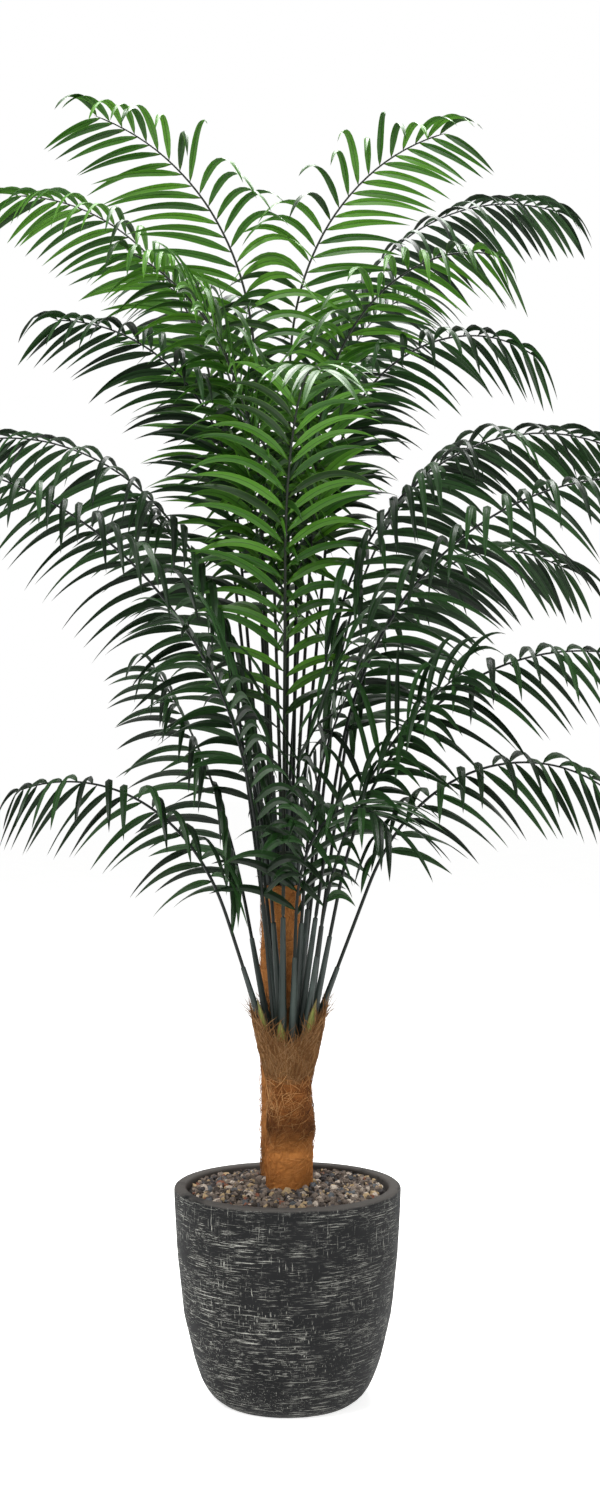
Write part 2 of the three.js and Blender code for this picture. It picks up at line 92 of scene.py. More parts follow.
def ripple(points: np.ndarray, wavelength: float, seed: int, waves: int = 9) -> np.ndarray:
    """Give smooth unevenness from about -1 to 1 at each point.

    It is the sum of plane sine waves of one wavelength with random directions and phases, divided by
    the root of half their number.

    Args:
        points: Positions, with x, y, z last.
        wavelength: Length of one wave in metres.
        seed: Which random set of waves.
        waves: How many are added up.

    Returns:
        One number per point.
    """
    rng = np.random.default_rng(seed)
    headings = unit(rng.normal(size=(3, waves)).T).T * rng.uniform(0.7, 1.4, waves)
    phases = rng.uniform(0, 2 * math.pi, waves)
    return np.sin(points @ headings * (2 * math.pi / wavelength) + phases).sum(-1) / math.sqrt(waves * 2)


def smooth_step(value: np.ndarray) -> np.ndarray:
    """Ease from 0 to 1: three times the square less twice the cube of the value held within 0 and 1."""
    held = np.clip(value, 0, 1)
    return held * held * (3 - 2 * held)


# ---- Meshes --------------------------------------------------------------------------------------


@dataclass
class Surface:
    """A closed surface as whole arrays.

    Args:
        points: Positions, one row per vertex.
        quads: Corners of the four-sided faces.
        triangles: Corners of the three-sided faces.
        strip: Position across and along the piece for each vertex, each from 0 to 1.
        layers: Named numbers, one per vertex.
        line: Which lengthwise line each vertex is on, or -1 at a pole.
    """

    points: np.ndarray
    quads: np.ndarray
    triangles: np.ndarray
    strip: np.ndarray
    layers: dict[str, np.ndarray]
    line: np.ndarray


def ring_faces(bodies: int, stations: int, sides: int) -> tuple[np.ndarray, np.ndarray]:
    """List the faces of bodies that are rings of points between two poles.

    A body's vertices are its first pole, then its rings in order, then its last pole. Each quad joins
    two neighbours on one ring to the same two on the next; each end is a fan round its pole.

    Args:
        bodies: How many bodies of the same layout.
        stations: Rings in each.
        sides: Points in a ring.

    Returns:
        The quads and the triangles, facing outwards where a ring turns left about the way along.
    """
    here = np.arange(sides)
    after = (here + 1) % sides
    rings = 1 + np.arange(stations)[:, None] * sides
    low, high = rings[:-1], rings[1:]
    quads = np.stack([low + here, low + after, high + after, high + here], -1).reshape(-1, 4)
    last = stations * sides + 1
    start = np.stack([np.zeros_like(here), 1 + after, 1 + here], -1)
    end = np.stack([rings[-1] + here, rings[-1] + after, np.full_like(here, last)], -1)
    triangles = np.concatenate([start, end])
    offsets = np.arange(bodies)[:, None, None] * (last + 1)
    return (quads + offsets).reshape(-1, 4), (triangles + offsets).reshape(-1, 3)


def ring_bodies(rings: np.ndarray, poles: np.ndarray, layers: dict[str, np.ndarray] | None = None) -> Surface:
    """Close rings of points into bodies.

    Args:
        rings: Points of shape (bodies, stations, sides, 3).
        poles: First and last point of each body, of shape (bodies, 2, 3).
        layers: Named numbers, one per body, kept on every vertex of that body.

    Returns:
        All the bodies as one surface.
    """
    bodies, stations, sides, _ = rings.shape
    points = np.concatenate([poles[:, :1], rings.reshape(bodies, -1, 3), poles[:, 1:]], 1)
    quads, triangles = ring_faces(bodies, stations, sides)
    across = np.tile(1 - np.abs(np.arange(sides) / sides * 2 - 1), stations)
    along = np.repeat(np.linspace(0, 1, stations), sides)
    strip = np.stack([np.r_[0.5, across, 0.5], np.r_[0, along, 1]], -1)
    line = np.r_[-1, np.tile(np.arange(sides), stations), -1]
    size = stations * sides + 2
    named = {name: np.repeat(values, size) for name, values in (layers or {}).items()}
    return Surface(points.reshape(-1, 3), quads, triangles, np.tile(strip, (bodies, 1)), named,
                   np.tile(line, bodies))


def sweep(paths: np.ndarray, flats: np.ndarray, normals: np.ndarray, section: np.ndarray,
          layers: dict[str, np.ndarray] | None = None) -> Surface:
    """Carry a section along paths.

    Each ring point is the path's point, plus the section's first number times the flat direction,
    plus its second number times the normal direction.

    Args:
        paths: Points of shape (bodies, stations + 2, 3); the first and last are the poles.
        flats: Sideways directions at the stations.
        normals: Upward directions at the stations; flat, normal and the way along are right-handed.
        section: Ring offsets of shape (bodies or 1, stations or 1, sides, 2), turning left.
        layers: Named numbers, one per body.

    Returns:
        The swept bodies as one surface.
    """
    sideways = flats[:, :, None] * section[..., 0:1]
    upwards = normals[:, :, None] * section[..., 1:2]
    return ring_bodies(paths[:, 1:-1, None] + sideways + upwards, paths[:, [0, -1]], layers)


def round_section(sides: int) -> np.ndarray:
    """Spread points evenly round a circle with a radius of one.

    Args:
        sides: How many points.

    Returns:
        Their two offsets, one row per point, turning left.
    """
    turn = np.arange(sides) * (2 * math.pi / sides)
    return np.stack([np.cos(turn), np.sin(turn)], -1)


def revolve(profile: np.ndarray, sides: int, centre: np.ndarray) -> np.ndarray:
    """Turn a profile about an upright axis.

    A ring's point is the centre plus the profile's radius along each of the evenly spaced headings,
    at the profile's height.

    Args:
        profile: Rows of radius and height, from the first pole to the last, poles left out.
        sides: Points in a ring.
        centre: x and y of the axis.

    Returns:
        Rings of shape (1, rows, sides, 3).
    """
    turn = np.arange(sides) * (2 * math.pi / sides)
    radius, height = profile[:, :1], profile[:, 1:]
    rings = np.stack([centre[0] + radius * np.cos(turn), centre[1] + radius * np.sin(turn),
                      np.broadcast_to(height, (len(profile), sides))], -1)
    return rings[None]


def ease_profile(corners: list[tuple[float, float]], step: float, rounds: int) -> np.ndarray:
    """Resample a profile evenly and round its corners.

    Points are taken at even distances along the straight profile, then each is replaced several times
    by half of itself and a quarter of each neighbour, with both ends held.

    Args:
        corners: Rows of radius and height.
        step: Distance between points.
        rounds: How often the neighbours are averaged.

    Returns:
        The finer, rounder profile.
    """
    given = np.array(corners, float)
    reach = np.r_[0, np.cumsum(np.linalg.norm(np.diff(given, axis=0), axis=1))]
    places = np.linspace(0, reach[-1], int(reach[-1] / step) + 1)
    fine = np.stack([np.interp(places, reach, given[:, axis]) for axis in (0, 1)], -1)
    for _ in range(rounds):
        fine[1:-1] = fine[1:-1] / 2 + (fine[:-2] + fine[2:]) / 4
    return fine


def join(surfaces: list[Surface]) -> Surface:
    """Put several surfaces into one, each keeping its own vertices.

    Args:
        surfaces: The surfaces; a layer that one of them lacks is 0 there.

    Returns:
        One surface.
    """
    starts = np.cumsum([0] + [len(s.points) for s in surfaces[:-1]])
    names = sorted({name for s in surfaces for name in s.layers})
    layers = {name: [s.layers.get(name, np.zeros(len(s.points))) for s in surfaces] for name in names}
    return Surface(
        np.concatenate([s.points for s in surfaces]),
        np.concatenate([s.quads + start for s, start in zip(surfaces, starts)]),
        np.concatenate([s.triangles + start for s, start in zip(surfaces, starts)]),
        np.concatenate([s.strip for s in surfaces]),
        {name: np.concatenate(parts) for name, parts in layers.items()},
        np.concatenate([s.line for s in surfaces]),
    )


class Shading(Enum):
    """How a piece's faces meet."""

    SMOOTH = "smooth"
    FACETED = "faceted"
    RIDGED = "smooth along, crisp across"


def add_piece(name: str, surface: Surface, material: bpy.types.Material, nodes: list[str],
              shading: Shading = Shading.SMOOTH) -> bpy.types.Object:
    """Make a piece from a surface and tie it to the frame.

    Args:
        name: The piece's name.
        surface: Its closed surface.
        material: Its finish.
        nodes: The CAD nodes that it stands for.
        shading: How its faces meet.

    Returns:
        The new object, riding on the frame.
    """
    mesh = bpy.data.meshes.new(name)
    corners = np.concatenate([surface.quads.ravel(), surface.triangles.ravel()]).astype(np.int32)
    four, three = len(surface.quads), len(surface.triangles)
    starts = np.concatenate([np.arange(four) * 4, four * 4 + np.arange(three) * 3]).astype(np.int32)
    mesh.vertices.add(len(surface.points))
    mesh.vertices.foreach_set("co", surface.points.astype(np.float32).ravel())
    mesh.loops.add(len(corners))
    mesh.loops.foreach_set("vertex_index", corners)
    mesh.polygons.add(four + three)
    mesh.polygons.foreach_set("loop_start", starts)
    mesh.update(calc_edges=True)
    mesh.polygons.foreach_set("use_smooth", np.full(four + three, shading is not Shading.FACETED))
    strip = mesh.uv_layers.new(name="strip")
    strip.data.foreach_set("uv", surface.strip[corners].astype(np.float32).ravel())
    for layer, values in surface.layers.items():
        mesh.attributes.new(layer, "FLOAT", "POINT").data.foreach_set("value", values.astype(np.float32))
    if shading is Shading.RIDGED:
        ends = np.empty(len(mesh.edges) * 2, np.int32)
        mesh.edges.foreach_get("vertices", ends)
        lines = surface.line[ends.reshape(-1, 2)]
        crisp = (lines[:, 0] == lines[:, 1]) & (lines[:, 0] >= 0)
        mesh.attributes.new("sharp_edge", "BOOLEAN", "EDGE").data.foreach_set("value", crisp)
    mesh.materials.append(material)
    mesh.validate()
    piece = bpy.data.objects.new(name, mesh)
    bpy.context.scene.collection.objects.link(piece)
    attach(piece, BODY)
    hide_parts(*nodes)
    LOG.info("%s: %d faces", name, four + three)
    return piece


# ---- Finishes ------------------------------------------------------------------------------------


def linear(code: str) -> tuple[float, float, float, float]:
    """Turn an sRGB hex colour into linear light.

    A share up to 0.04045 is divided by 12.92; a larger one has 0.055 added, is divided by 1.055 and
    raised to the power 2.4.

    Args:
        code: Six hex digits after a hash.

    Returns:
        Red, green, blue and full opacity.
    """
    shares = [int(code[i:i + 2], 16) / 255 for i in (1, 3, 5)]
    red, green, blue = [s / 12.92 if s <= 0.04045 else ((s + 0.055) / 1.055) ** 2.4 for s in shares]
    return red, green, blue, 1.0


class Dressing:
    """A material being made, with short ways to add the nodes that every finish uses."""

    def __init__(self, name: str, **shader: float) -> None:
        """Start a material.

        Args:
            name: The material's name.
            **shader: Fixed numbers for the shader, with underscores for the spaces of socket names.
        """
        self.material = bpy.data.materials.new(name)
        self.material.use_nodes = True
        self.tree = self.material.node_tree
        self.shader = self.tree.nodes["Principled BSDF"]
        for socket, value in shader.items():
            self.shader.inputs[socket.replace("_", " ")].default_value = value

    def add(self, kind: str, sockets: dict | None = None, **settings: object) -> bpy.types.Node:
        """Add a node with its settings and links.

        Args:
            kind: The node's type, without its ShaderNode prefix.
            sockets: Input names or places, each with an output to link from or a value to hold.
            **settings: The node's own properties.

        Returns:
            The new node.
        """
        node = self.tree.nodes.new("ShaderNode" + kind)
        for name, value in settings.items():
            setattr(node, name, value)
        for socket, value in (sockets or {}).items():
            if isinstance(value, bpy.types.NodeSocket):
                self.tree.links.new(value, node.inputs[socket])
            else:
                node.inputs[socket].default_value = value
        return node

    def maths(self, operation: str, first: object, second: object = 0.0) -> bpy.types.NodeSocket:
        """Work out one sum of two numbers or outputs."""
        return self.add("Math", {0: first, 1: second}, operation=operation).outputs[0]

    def spread(self, value: object, low: float, high: float, least: float = 0.0,
               most: float = 1.0) -> bpy.types.NodeSocket:
        """Map a value from one span to another and hold it there."""
        sockets = {"Value": value, "From Min": low, "From Max": high, "To Min": least, "To Max": most}
        return self.add("MapRange", sockets).outputs["Result"]

    def mix(self, share: object, first: object, second: object, blend: str = "MIX") -> bpy.types.NodeSocket:
        """Mix two colours by a share of the second."""
        node = self.add("Mix", {0: share, 6: first, 7: second}, data_type="RGBA", blend_type=blend)
        return node.outputs[2]

    def ramp(self, value: object, stops: list[tuple[float, str]],
             stepped: bool = False) -> bpy.types.NodeSocket:
        """Turn a value into a colour.

        Args:
            value: Output that holds the value.
            stops: Rows of place and hex colour.
            stepped: Whether each colour runs unmixed up to the next stop.

        Returns:
            The colour.
        """
        node = self.add("ValToRGB", {0: value})
        band = node.color_ramp
        band.interpolation = "CONSTANT" if stepped else "LINEAR"
        while len(band.elements) < len(stops):
            band.elements.new(1.0)
        for element, (place, code) in zip(band.elements, stops):
            element.position = place
            element.color = linear(code)
        return node.outputs[0]

    def place(self, stretch: tuple[float, float, float]) -> bpy.types.NodeSocket:
        """Object coordinates, stretched along each axis by how many pattern units a metre holds."""
        where = self.add("TexCoord").outputs["Object"]
        return self.add("Mapping", {"Vector": where, "Scale": stretch}).outputs[0]

    def noise(self, vector: object, scale: float = 1.0, detail: float = 3.0,
              roughness: float = 0.55) -> bpy.types.NodeSocket:
        """Cloudy noise over a vector."""
        sockets = {"Vector": vector, "Scale": scale, "Detail": detail, "Roughness": roughness}
        return self.add("TexNoise", sockets).outputs[0]

    def layer(self, name: str) -> bpy.types.NodeSocket:
        """The piece's own named number."""
        return self.add("Attribute", attribute_name=name).outputs["Fac"]

    def strip(self) -> tuple[bpy.types.NodeSocket, bpy.types.NodeSocket]:
        """How far across and how far along the piece a point is."""
        split = self.add("SeparateXYZ", {0: self.add("UVMap", uv_map="strip").outputs[0]})
        return split.outputs[0], split.outputs[1]

    def height(self) -> bpy.types.NodeSocket:
        """How high above the pot's base a point is, in metres."""
        return self.add("SeparateXYZ", {0: self.place((1, 1, 1))}).outputs[2]

    def off_middle(self, across: bpy.types.NodeSocket) -> bpy.types.NodeSocket:
        """How far a point is from the piece's middle line: 0 on it and 0.5 at either edge."""
        return self.maths("ABSOLUTE", self.maths("SUBTRACT", across, 0.5))

    def finish(self, colour: object, roughness: object, relief: object, strength: float,
               depth: float) -> bpy.types.Material:
        """Wire the shader.

        Args:
            colour: Output or colour for the base.
            roughness: Output or number for the roughness.
            relief: Output whose height is felt as bumps.
            strength: How strongly the bumps show.
            depth: Their height in metres.

        Returns:
            The finished material.
        """
        bump = self.add("Bump", {"Height": relief, "Strength": strength, "Distance": depth})
        wires = {"Base Color": colour, "Roughness": roughness, "Normal": bump.outputs[0]}
        for socket, value in wires.items():
            if isinstance(value, bpy.types.NodeSocket):
                self.tree.links.new(value, self.shader.inputs[socket])
            else:
                self.shader.inputs[socket].default_value = value
        return self.material


@dataclass(frozen=True)
class LeafFinish:
    """Printed, wax-coated leaf cloth: the vein streaks and dark midrib give each folded leaflet its two
    halves, and the coat gives the pale highlights on its top.

    Args:
        name: The material's name.
        deep: Colour of the darkest leaflets and of the midrib, which is partly painted shade in its groove,
            and of the painted shade low on the palm.
        middle: Colour of most leaflets.
        light: Colour of the palest leaflets.
        edge: Colour at their edges and roots.
        stalk: Colour of the stalk they stand on.
        roughness: How dull the coat is.
        sheen: Strength of the coat's reflections.
        low_shade: Share of painted shade by which leaflets low on the palm are darker.
        unshaded_above: Height in metres above which no leaflet is darkened by the painted shade.
        shaded_below: Height in metres below which all leaflets take the full painted shade.
    """

    name: str
    deep: str
    middle: str
    light: str
    edge: str
    stalk: str
    roughness: float
    sheen: float
    low_shade: float
    unshaded_above: float = 1.75
    shaded_below: float = 1.25

    def build(self) -> bpy.types.Material:
        """Make the material: streaked shades between a dark midrib and pale edges, and a plain stalk.

        Returns:
            The material.
        """
        d = Dressing(self.name, Specular_IOR_Level=self.sheen)
        across, along = d.strip()
        shade = d.layer("shade")
        vein_place = {0: d.maths("MULTIPLY", across, 16), 1: d.maths("MULTIPLY", along, 2.5),
                      2: d.maths("MULTIPLY", shade, 43)}
        veins = d.noise(d.add("CombineXYZ", vein_place).outputs[0], 1.0, 2.0)
        tone = d.maths("ADD", d.maths("MULTIPLY", shade, 0.75), d.maths("MULTIPLY", veins, 0.4))
        colour = d.ramp(tone, [(0.12, self.deep), (0.5, self.middle), (0.95, self.light)])
        off = d.off_middle(across)
        colour = d.mix(d.spread(off, 0.42, 0.5, 0.0, 0.55), colour, linear(self.edge))
        # Partly painted shade: the dark midrib line is the midrib's own colour and also the shade in the
        # fold's groove.
        colour = d.mix(d.spread(off, 0.05, 0.02, 0.0, 0.7), colour, linear(self.deep))
        colour = d.mix(d.spread(along, 0.1, 0.0, 0.0, 0.5), colour, linear(self.edge))
        # Painted shade: leaflets low on the palm are darkened towards the deep colour by their height.
        low_shade_share = d.spread(d.height(), self.unshaded_above, self.shaded_below, 0.0, self.low_shade)
        colour = d.mix(low_shade_share, colour, linear(self.deep))
        colour = d.mix(d.layer("stalk"), colour, linear(self.stalk))
        relief = d.maths("ADD", veins, d.spread(off, 0.0, 0.06))
        roughness = d.spread(veins, 0.3, 0.7, self.roughness - 0.05, self.roughness + 0.1)
        return d.finish(colour, roughness, relief, 0.35, 0.4 * MM)


@dataclass(frozen=True)
class SleeveFinish:
    """Drawn plastic stem sleeve: lengthwise streaks and grey patches, partly a dusting and partly painted
    highlight, keep it from looking new.

    Args:
        name: The material's name.
        dark: Colour of the streaks.
        pale: Colour between them.
        dust_and_highlight_colour: Colour of the grey patches, partly a dusting and partly painted highlight.
        streaks: Pattern units in a metre of the streaks along each axis.
        dust_and_highlight_scale: The same for those patches.
    """

    name: str
    dark: str
    pale: str
    dust_and_highlight_colour: str
    streaks: tuple[float, float, float] = (420, 420, 9)
    dust_and_highlight_scale: tuple[float, float, float] = (45, 45, 14)

    def build(self) -> bpy.types.Material:
        """Make the material: fine streaks of two greens under grey patches of dusting and painted highlight.

        Returns:
            The material.
        """
        d = Dressing(self.name, Specular_IOR_Level=0.5)
        streaks = d.noise(d.place(self.streaks), 1.0, 3.0)
        dust_and_highlight = d.noise(d.place(self.dust_and_highlight_scale), 1.0, 4.0)
        colour = d.ramp(streaks, [(0.3, self.dark), (0.7, self.pale)])
        # Partly painted highlight: the grey patches stand for a dusting and for highlights on the sleeve.
        colour = d.mix(d.spread(dust_and_highlight, 0.5, 0.75, 0.0, 0.55), colour, linear(self.dust_and_highlight_colour))
        return d.finish(colour, d.spread(dust_and_highlight, 0.3, 0.7, 0.38, 0.6), streaks, 0.3, 0.3 * MM)


@dataclass(frozen=True)
class CoirFinish:
    """Pressed coconut fibre: tangled streaks of dark and pale fibre with a darker band.

    Args:
        name: The material's name.
        dark: Colour between the fibres.
        middle: Colour of most fibres.
        pale: Colour of the driest ones.
        foot: Colour that most fibres take on below the band, partly their own colour and partly painted light
            that brightens the shaded lower trunk.
        band: Height in metres of the darker band, or a height out of reach for none.
        tangles: Pattern units in a metre of the three ways that the fibres lie.
        clumps: The same for the clumps that they lie in.
    """

    name: str
    dark: str
    middle: str
    pale: str
    foot: str
    band: float
    tangles: tuple[tuple[float, float, float], ...] = ((900, 500, 220), (300, 260, 900), (520, 900, 520))
    clumps: tuple[float, float, float] = (26, 26, 18)

    def build(self) -> bpy.types.Material:
        """Make the material: tangled fibres in three tones, the foot's colour, and the band above it.

        Returns:
            The material.
        """
        d = Dressing(self.name, Specular_IOR_Level=0.2)
        first, second, third = (d.noise(d.place(scale), 1.0, 3.0, 0.65) for scale in self.tangles)
        tangle = d.maths("MAXIMUM", first, d.maths("MAXIMUM", second, third))
        clumps = d.noise(d.place(self.clumps), 1.0, 4.0)
        strand = d.layer("strand")
        tone = d.maths("ADD", d.maths("MULTIPLY", tangle, 0.62), d.maths("MULTIPLY", clumps, 0.42))
        tone = d.maths("ADD", tone, d.maths("MULTIPLY", strand, 0.5))
        colour = d.ramp(tone, [(0.52, self.dark), (0.74, self.middle), (1.0, self.pale)])
        height = d.height()
        # Partly painted light: below the band the fibres turn to the brighter foot colour, lightening the
        # shade that the collar and fronds cast on the lower trunk.
        colour = d.mix(d.spread(height, self.band, self.band - 0.04, 0.0, 0.7), colour, linear(self.foot))
        wavy = d.maths("ADD", height, d.maths("MULTIPLY", clumps, 0.05))
        away = d.maths("ABSOLUTE", d.maths("SUBTRACT", wavy, self.band + 0.025))
        colour = d.mix(d.spread(away, 0.045, 0.0, 0.0, 0.55), colour, linear(self.dark))
        return d.finish(colour, 0.92, tangle, 0.8, 1.2 * MM)


@dataclass(frozen=True)
class SheathFinish:
    """Dried leaf base: lengthwise olive and straw streaks that turn brown at the edges and tip.

    Args:
        name: The material's name.
        green: Colour of the middle.
        straw: Colour of the streaks.
        brown: Colour of the edges and tip.
    """

    name: str
    green: str
    straw: str
    brown: str

    def build(self) -> bpy.types.Material:
        """Make the material: streaks along the leaf base, browned at its edges and tip.

        Returns:
            The material.
        """
        d = Dressing(self.name, Specular_IOR_Level=0.4)
        across, along = d.strip()
        lines = d.add("CombineXYZ", {0: d.maths("MULTIPLY", across, 22), 1: d.maths("MULTIPLY", along, 3)})
        streaks = d.noise(lines.outputs[0], 1.0, 3.0)
        colour = d.ramp(streaks, [(0.35, self.green), (0.7, self.straw)])
        off = d.off_middle(across)
        colour = d.mix(d.spread(off, 0.3, 0.48, 0.0, 0.75), colour, linear(self.brown))
        colour = d.mix(d.spread(along, 0.8, 1.0, 0.0, 0.8), colour, linear(self.brown))
        return d.finish(colour, 0.6, streaks, 0.5, 0.5 * MM)


@dataclass(frozen=True)
class Strokes:
    """One set of dry brush strokes.

    Args:
        scale: Pattern units in a metre along each axis; a stroke runs along the axes that hold few.
        level: The noise above which a stroke shows.
        patches: Pattern units in a metre of the cloudy patches that keep their strokes.
        seed: Which part of that pattern is used.
    """

    scale: tuple[float, float, float]
    level: float
    patches: float
    seed: float

    def build(self, d: Dressing) -> bpy.types.NodeSocket:
        """Broken strokes: stretched noise above a level, kept only in cloudy patches.

        Args:
            d: The material that they are for.

        Returns:
            1 on a stroke and 0 off it.
        """
        strokes = d.noise(d.place(self.scale), 1.0, 3.0, 0.6)
        spots = d.place((self.patches, self.patches, self.patches * 2))
        where = d.add("VectorMath", {0: spots, 1: (self.seed, self.seed, self.seed)}, operation="ADD")
        kept = d.spread(d.noise(where.outputs[0], 1.0, 4.0, 0.7), 0.44, 0.56)
        return d.maths("MULTIPLY", d.spread(strokes, self.level, self.level + 0.05), kept)


@dataclass(frozen=True)
class PotFinish:
    """Fibre cement, dry-brushed: broken pale strokes lie level and upright over a charcoal wall, and
    the rim is left plain.

    Args:
        name: The material's name.
        dark: Colour of the wall.
        worn: Colour of its lighter clouds.
        brush: Colour of the strokes.
        rim: Colour of the rim.
        rim_foot: Height in metres where the plain rim starts.
        rim_inside: Radius in metres of the rim's inner edge.
        rim_depth: How far in metres the plain rim's colour reaches down inside, where it is partly painted
            light on the shaded inner wall.
        strokes: The sets of strokes, broad, fine and upright.
    """

    name: str
    dark: str
    worn: str
    brush: str
    rim: str
    rim_foot: float
    rim_inside: float
    rim_depth: float
    strokes: tuple[Strokes, Strokes, Strokes]

    def build(self) -> bpy.types.Material:
        """Make the material: a clouded charcoal wall with its strokes, and the plain rim.

        Returns:
            The material.
        """
        d = Dressing(self.name, Specular_IOR_Level=0.15)
        broad, fine, upright = (strokes.build(d) for strokes in self.strokes)
        brushed = d.maths("MAXIMUM", broad, d.maths("MAXIMUM", fine, upright))
        grain = d.noise(d.place((700, 700, 700)), 1.0, 3.0)
        brushed = d.maths("MULTIPLY", brushed, d.spread(grain, 0.34, 0.5, 0.25, 1.0))
        place = d.add("SeparateXYZ", {0: d.place((1, 1, 1))})
        share = d.maths("MULTIPLY", brushed, d.spread(place.outputs[0], -0.12, 0.12, 1.0, 0.55))
        clouds = d.noise(d.place((16, 16, 30)), 1.0, 5.0)
        wall = d.ramp(clouds, [(0.35, self.dark), (0.72, self.worn)])
        wall = d.mix(share, wall, linear(self.brush))
        edge = d.maths("ADD", place.outputs[2], d.maths("MULTIPLY", clouds, 0.006))
        plain = d.spread(edge, self.rim_foot, self.rim_foot + 0.004)
        # Partly painted light: the rim's plain colour runs down the inner wall, lightening it where it lies
        # in shade.
        round_axis = d.add("VectorMath", {0: d.place((1, 1, 0))}, operation="LENGTH").outputs["Value"]
        inside = d.maths("LESS_THAN", round_axis, self.rim_inside)
        inside = d.maths("MULTIPLY", inside, d.maths("GREATER_THAN", edge, self.rim_foot - self.rim_depth))
        plain = d.maths("MAXIMUM", plain, inside)
        rim = d.ramp(clouds, [(0.3, self.dark), (0.45, self.rim)])
        relief = d.maths("ADD", brushed, d.maths("MULTIPLY", grain, 0.4))
        dullness = d.spread(clouds, 0.3, 0.7, 0.62, 0.8)
        return d.finish(d.mix(plain, wall, rim), dullness, relief, 0.5, 0.5 * MM)


@dataclass(frozen=True)
class PebbleFinish:
    """Crushed lava stone: each pebble takes one colour from the heap, with pits and specks on it.

    Args:
        name: The material's name.
        gap_shade: Colour of the painted shade in the gaps between the stones; their pits are darkened towards
            it too.
        speck: Colour of the specks on them.
        stones: Colours of the stones, each with the share of the heap at which it starts.
    """

    name: str
    gap_shade: str
    speck: str
    stones: tuple[tuple[float, str], ...]

    def build(self) -> bpy.types.Material:
        """Make the material: one colour for each stone, darkened in its pits and specked.

        Returns:
            The material.
        """
        d = Dressing(self.name, Specular_IOR_Level=0.35)
        pits = d.noise(d.place((520, 520, 520)), 1.0, 4.0, 0.7)
        # Tone 0 is the disc between the stones, which takes the painted shade colour for the gaps.
        colour = d.ramp(d.layer("tone"), [(0.0, self.gap_shade), *self.stones], stepped=True)
        colour = d.mix(d.spread(pits, 0.35, 0.75, 0.55, 0.0), colour, linear(self.gap_shade))
        colour = d.mix(d.spread(pits, 0.62, 0.8, 0.0, 0.3), colour, linear(self.speck))
        return d.finish(colour, 0.85, pits, 0.7, 0.8 * MM)


@dataclass(frozen=True)
class SoilFinish:
    """Dark potting fill: crumbs of two browns.

    Args:
        name: The material's name.
        dark: Colour of the hollows.
        pale: Colour of the crumbs.
    """

    name: str
    dark: str
    pale: str

    def build(self) -> bpy.types.Material:
        """Make the material: two browns by the crumb.

        Returns:
            The material.
        """
        d = Dressing(self.name, Specular_IOR_Level=0.2)
        crumbs = d.noise(d.place((260, 260, 260)), 1.0, 5.0, 0.7)
        return d.finish(d.ramp(crumbs, [(0.35, self.dark), (0.7, self.pale)]), 0.95, crumbs, 0.8, 2 * MM)


class Tone(Enum):
    """The two leaf colours on the palm."""

    BRIGHT = "leaf_bright"
    DARK = "leaf_dark"


# The bright leaf darkens its leaflets low on the palm with painted shade; the dark leaf does not.
LEAF_FINISHES = {
    Tone.BRIGHT: LeafFinish("fresh_leaf_cloth", "#0e2204", "#27560b", "#4b7f1b", "#6f9f38", "#141c10",
                            roughness=0.4, sheen=0.32, low_shade=0.4),
    Tone.DARK: LeafFinish("bottle_green_leaf_cloth", "#050f05", "#10260e", "#23441c", "#2f5527", "#101713",
                          roughness=0.38, sheen=0.23, low_shade=0.0),
}
# The sleeve's third colour is its grey patches, partly a dusting and partly painted highlight.
SLEEVE_FINISH = SleeveFinish("stem_sleeve_plastic", "#101916", "#22302b", "#48564f")
NO_BAND = 9.0
# The front trunk's foot colour is partly painted light on its lower part.
FRONT_COIR = CoirFinish("front_trunk_coir", "#3f240d", "#93592a", "#cb9a64", "#cf8a48", 0.475)
REAR_COIR = CoirFinish("rear_trunk_coir", "#4a2c14", "#a36a36", "#cfa06a", "#a36a36", NO_BAND)
COLLAR_COIR = CoirFinish("collar_coir", "#352010", "#79532f", "#c6a276", "#79532f", NO_BAND)
SHEATH_FINISH = SheathFinish("dried_leaf_base", "#4a5a1e", "#8f9144", "#553c1e")
BROAD_STROKES = Strokes((20, 20, 640), 0.59, 9, 3)
FINE_STROKES = Strokes((56, 56, 1000), 0.595, 15, 11)
UPRIGHT_STROKES = Strokes((560, 560, 28), 0.62, 12, 7)
POT_FINISH = PotFinish("brushed_fibre_cement", "#151617", "#212122", "#bfbfb6", "#524f4c", 0.371, 0.181, 0.03,
                       (BROAD_STROKES, FINE_STROKES, UPRIGHT_STROKES))
# Its first colour is painted shade for the gaps between the stones.
PEBBLE_FINISH = PebbleFinish("lava_gravel", "#1a1512", "#d8cfc4", (
    (0.06, "#4d443e"), (0.24, "#7a6d62"), (0.46, "#96877a"), (0.66, "#565253"), (0.78, "#686c70"),
    (0.83, "#96604a"), (0.87, "#dccdbc"), (0.93, "#c4aa82")))
SOIL_FINISH = SoilFinish("potting_fill", "#1d1510", "#4a382a")


# ---- Trunks --------------------------------------------------------------------------------------

WALL_TONE = 0.2


def strands(paths: np.ndarray, radius: np.ndarray, rng: np.random.Generator, sides: int = 3) -> Surface:
    """Give each path the body of a thin fibre.

    The fibre's section is an even ring that shrinks to half at both ends. Its sideways direction is
    the way along crossed with a direction of its own.

    Args:
        paths: Points of shape (fibres, stations + 2, 3).
        radius: Radius of each fibre.
        rng: Source of the fibres' own directions and tones.
        sides: Points in a ring.

    Returns:
        All the fibres, with their tones in the layer named strand.
    """
    ways = unit(np.gradient(paths, axis=1))[:, 1:-1]
    own = unit(rng.normal(size=(len(paths), 1, 3)))
    flats = unit(np.cross(ways, own))
    normals = np.cross(ways, flats)
    taper = 1 - 0.5 * np.abs(np.linspace(-1, 1, paths.shape[1] - 2)) ** 3
    section = radius[:, None, None, None] * taper[None, :, None, None] * round_section(sides)
    return sweep(paths, flats, normals, section, {"strand": rng.uniform(0, 1, len(paths))})


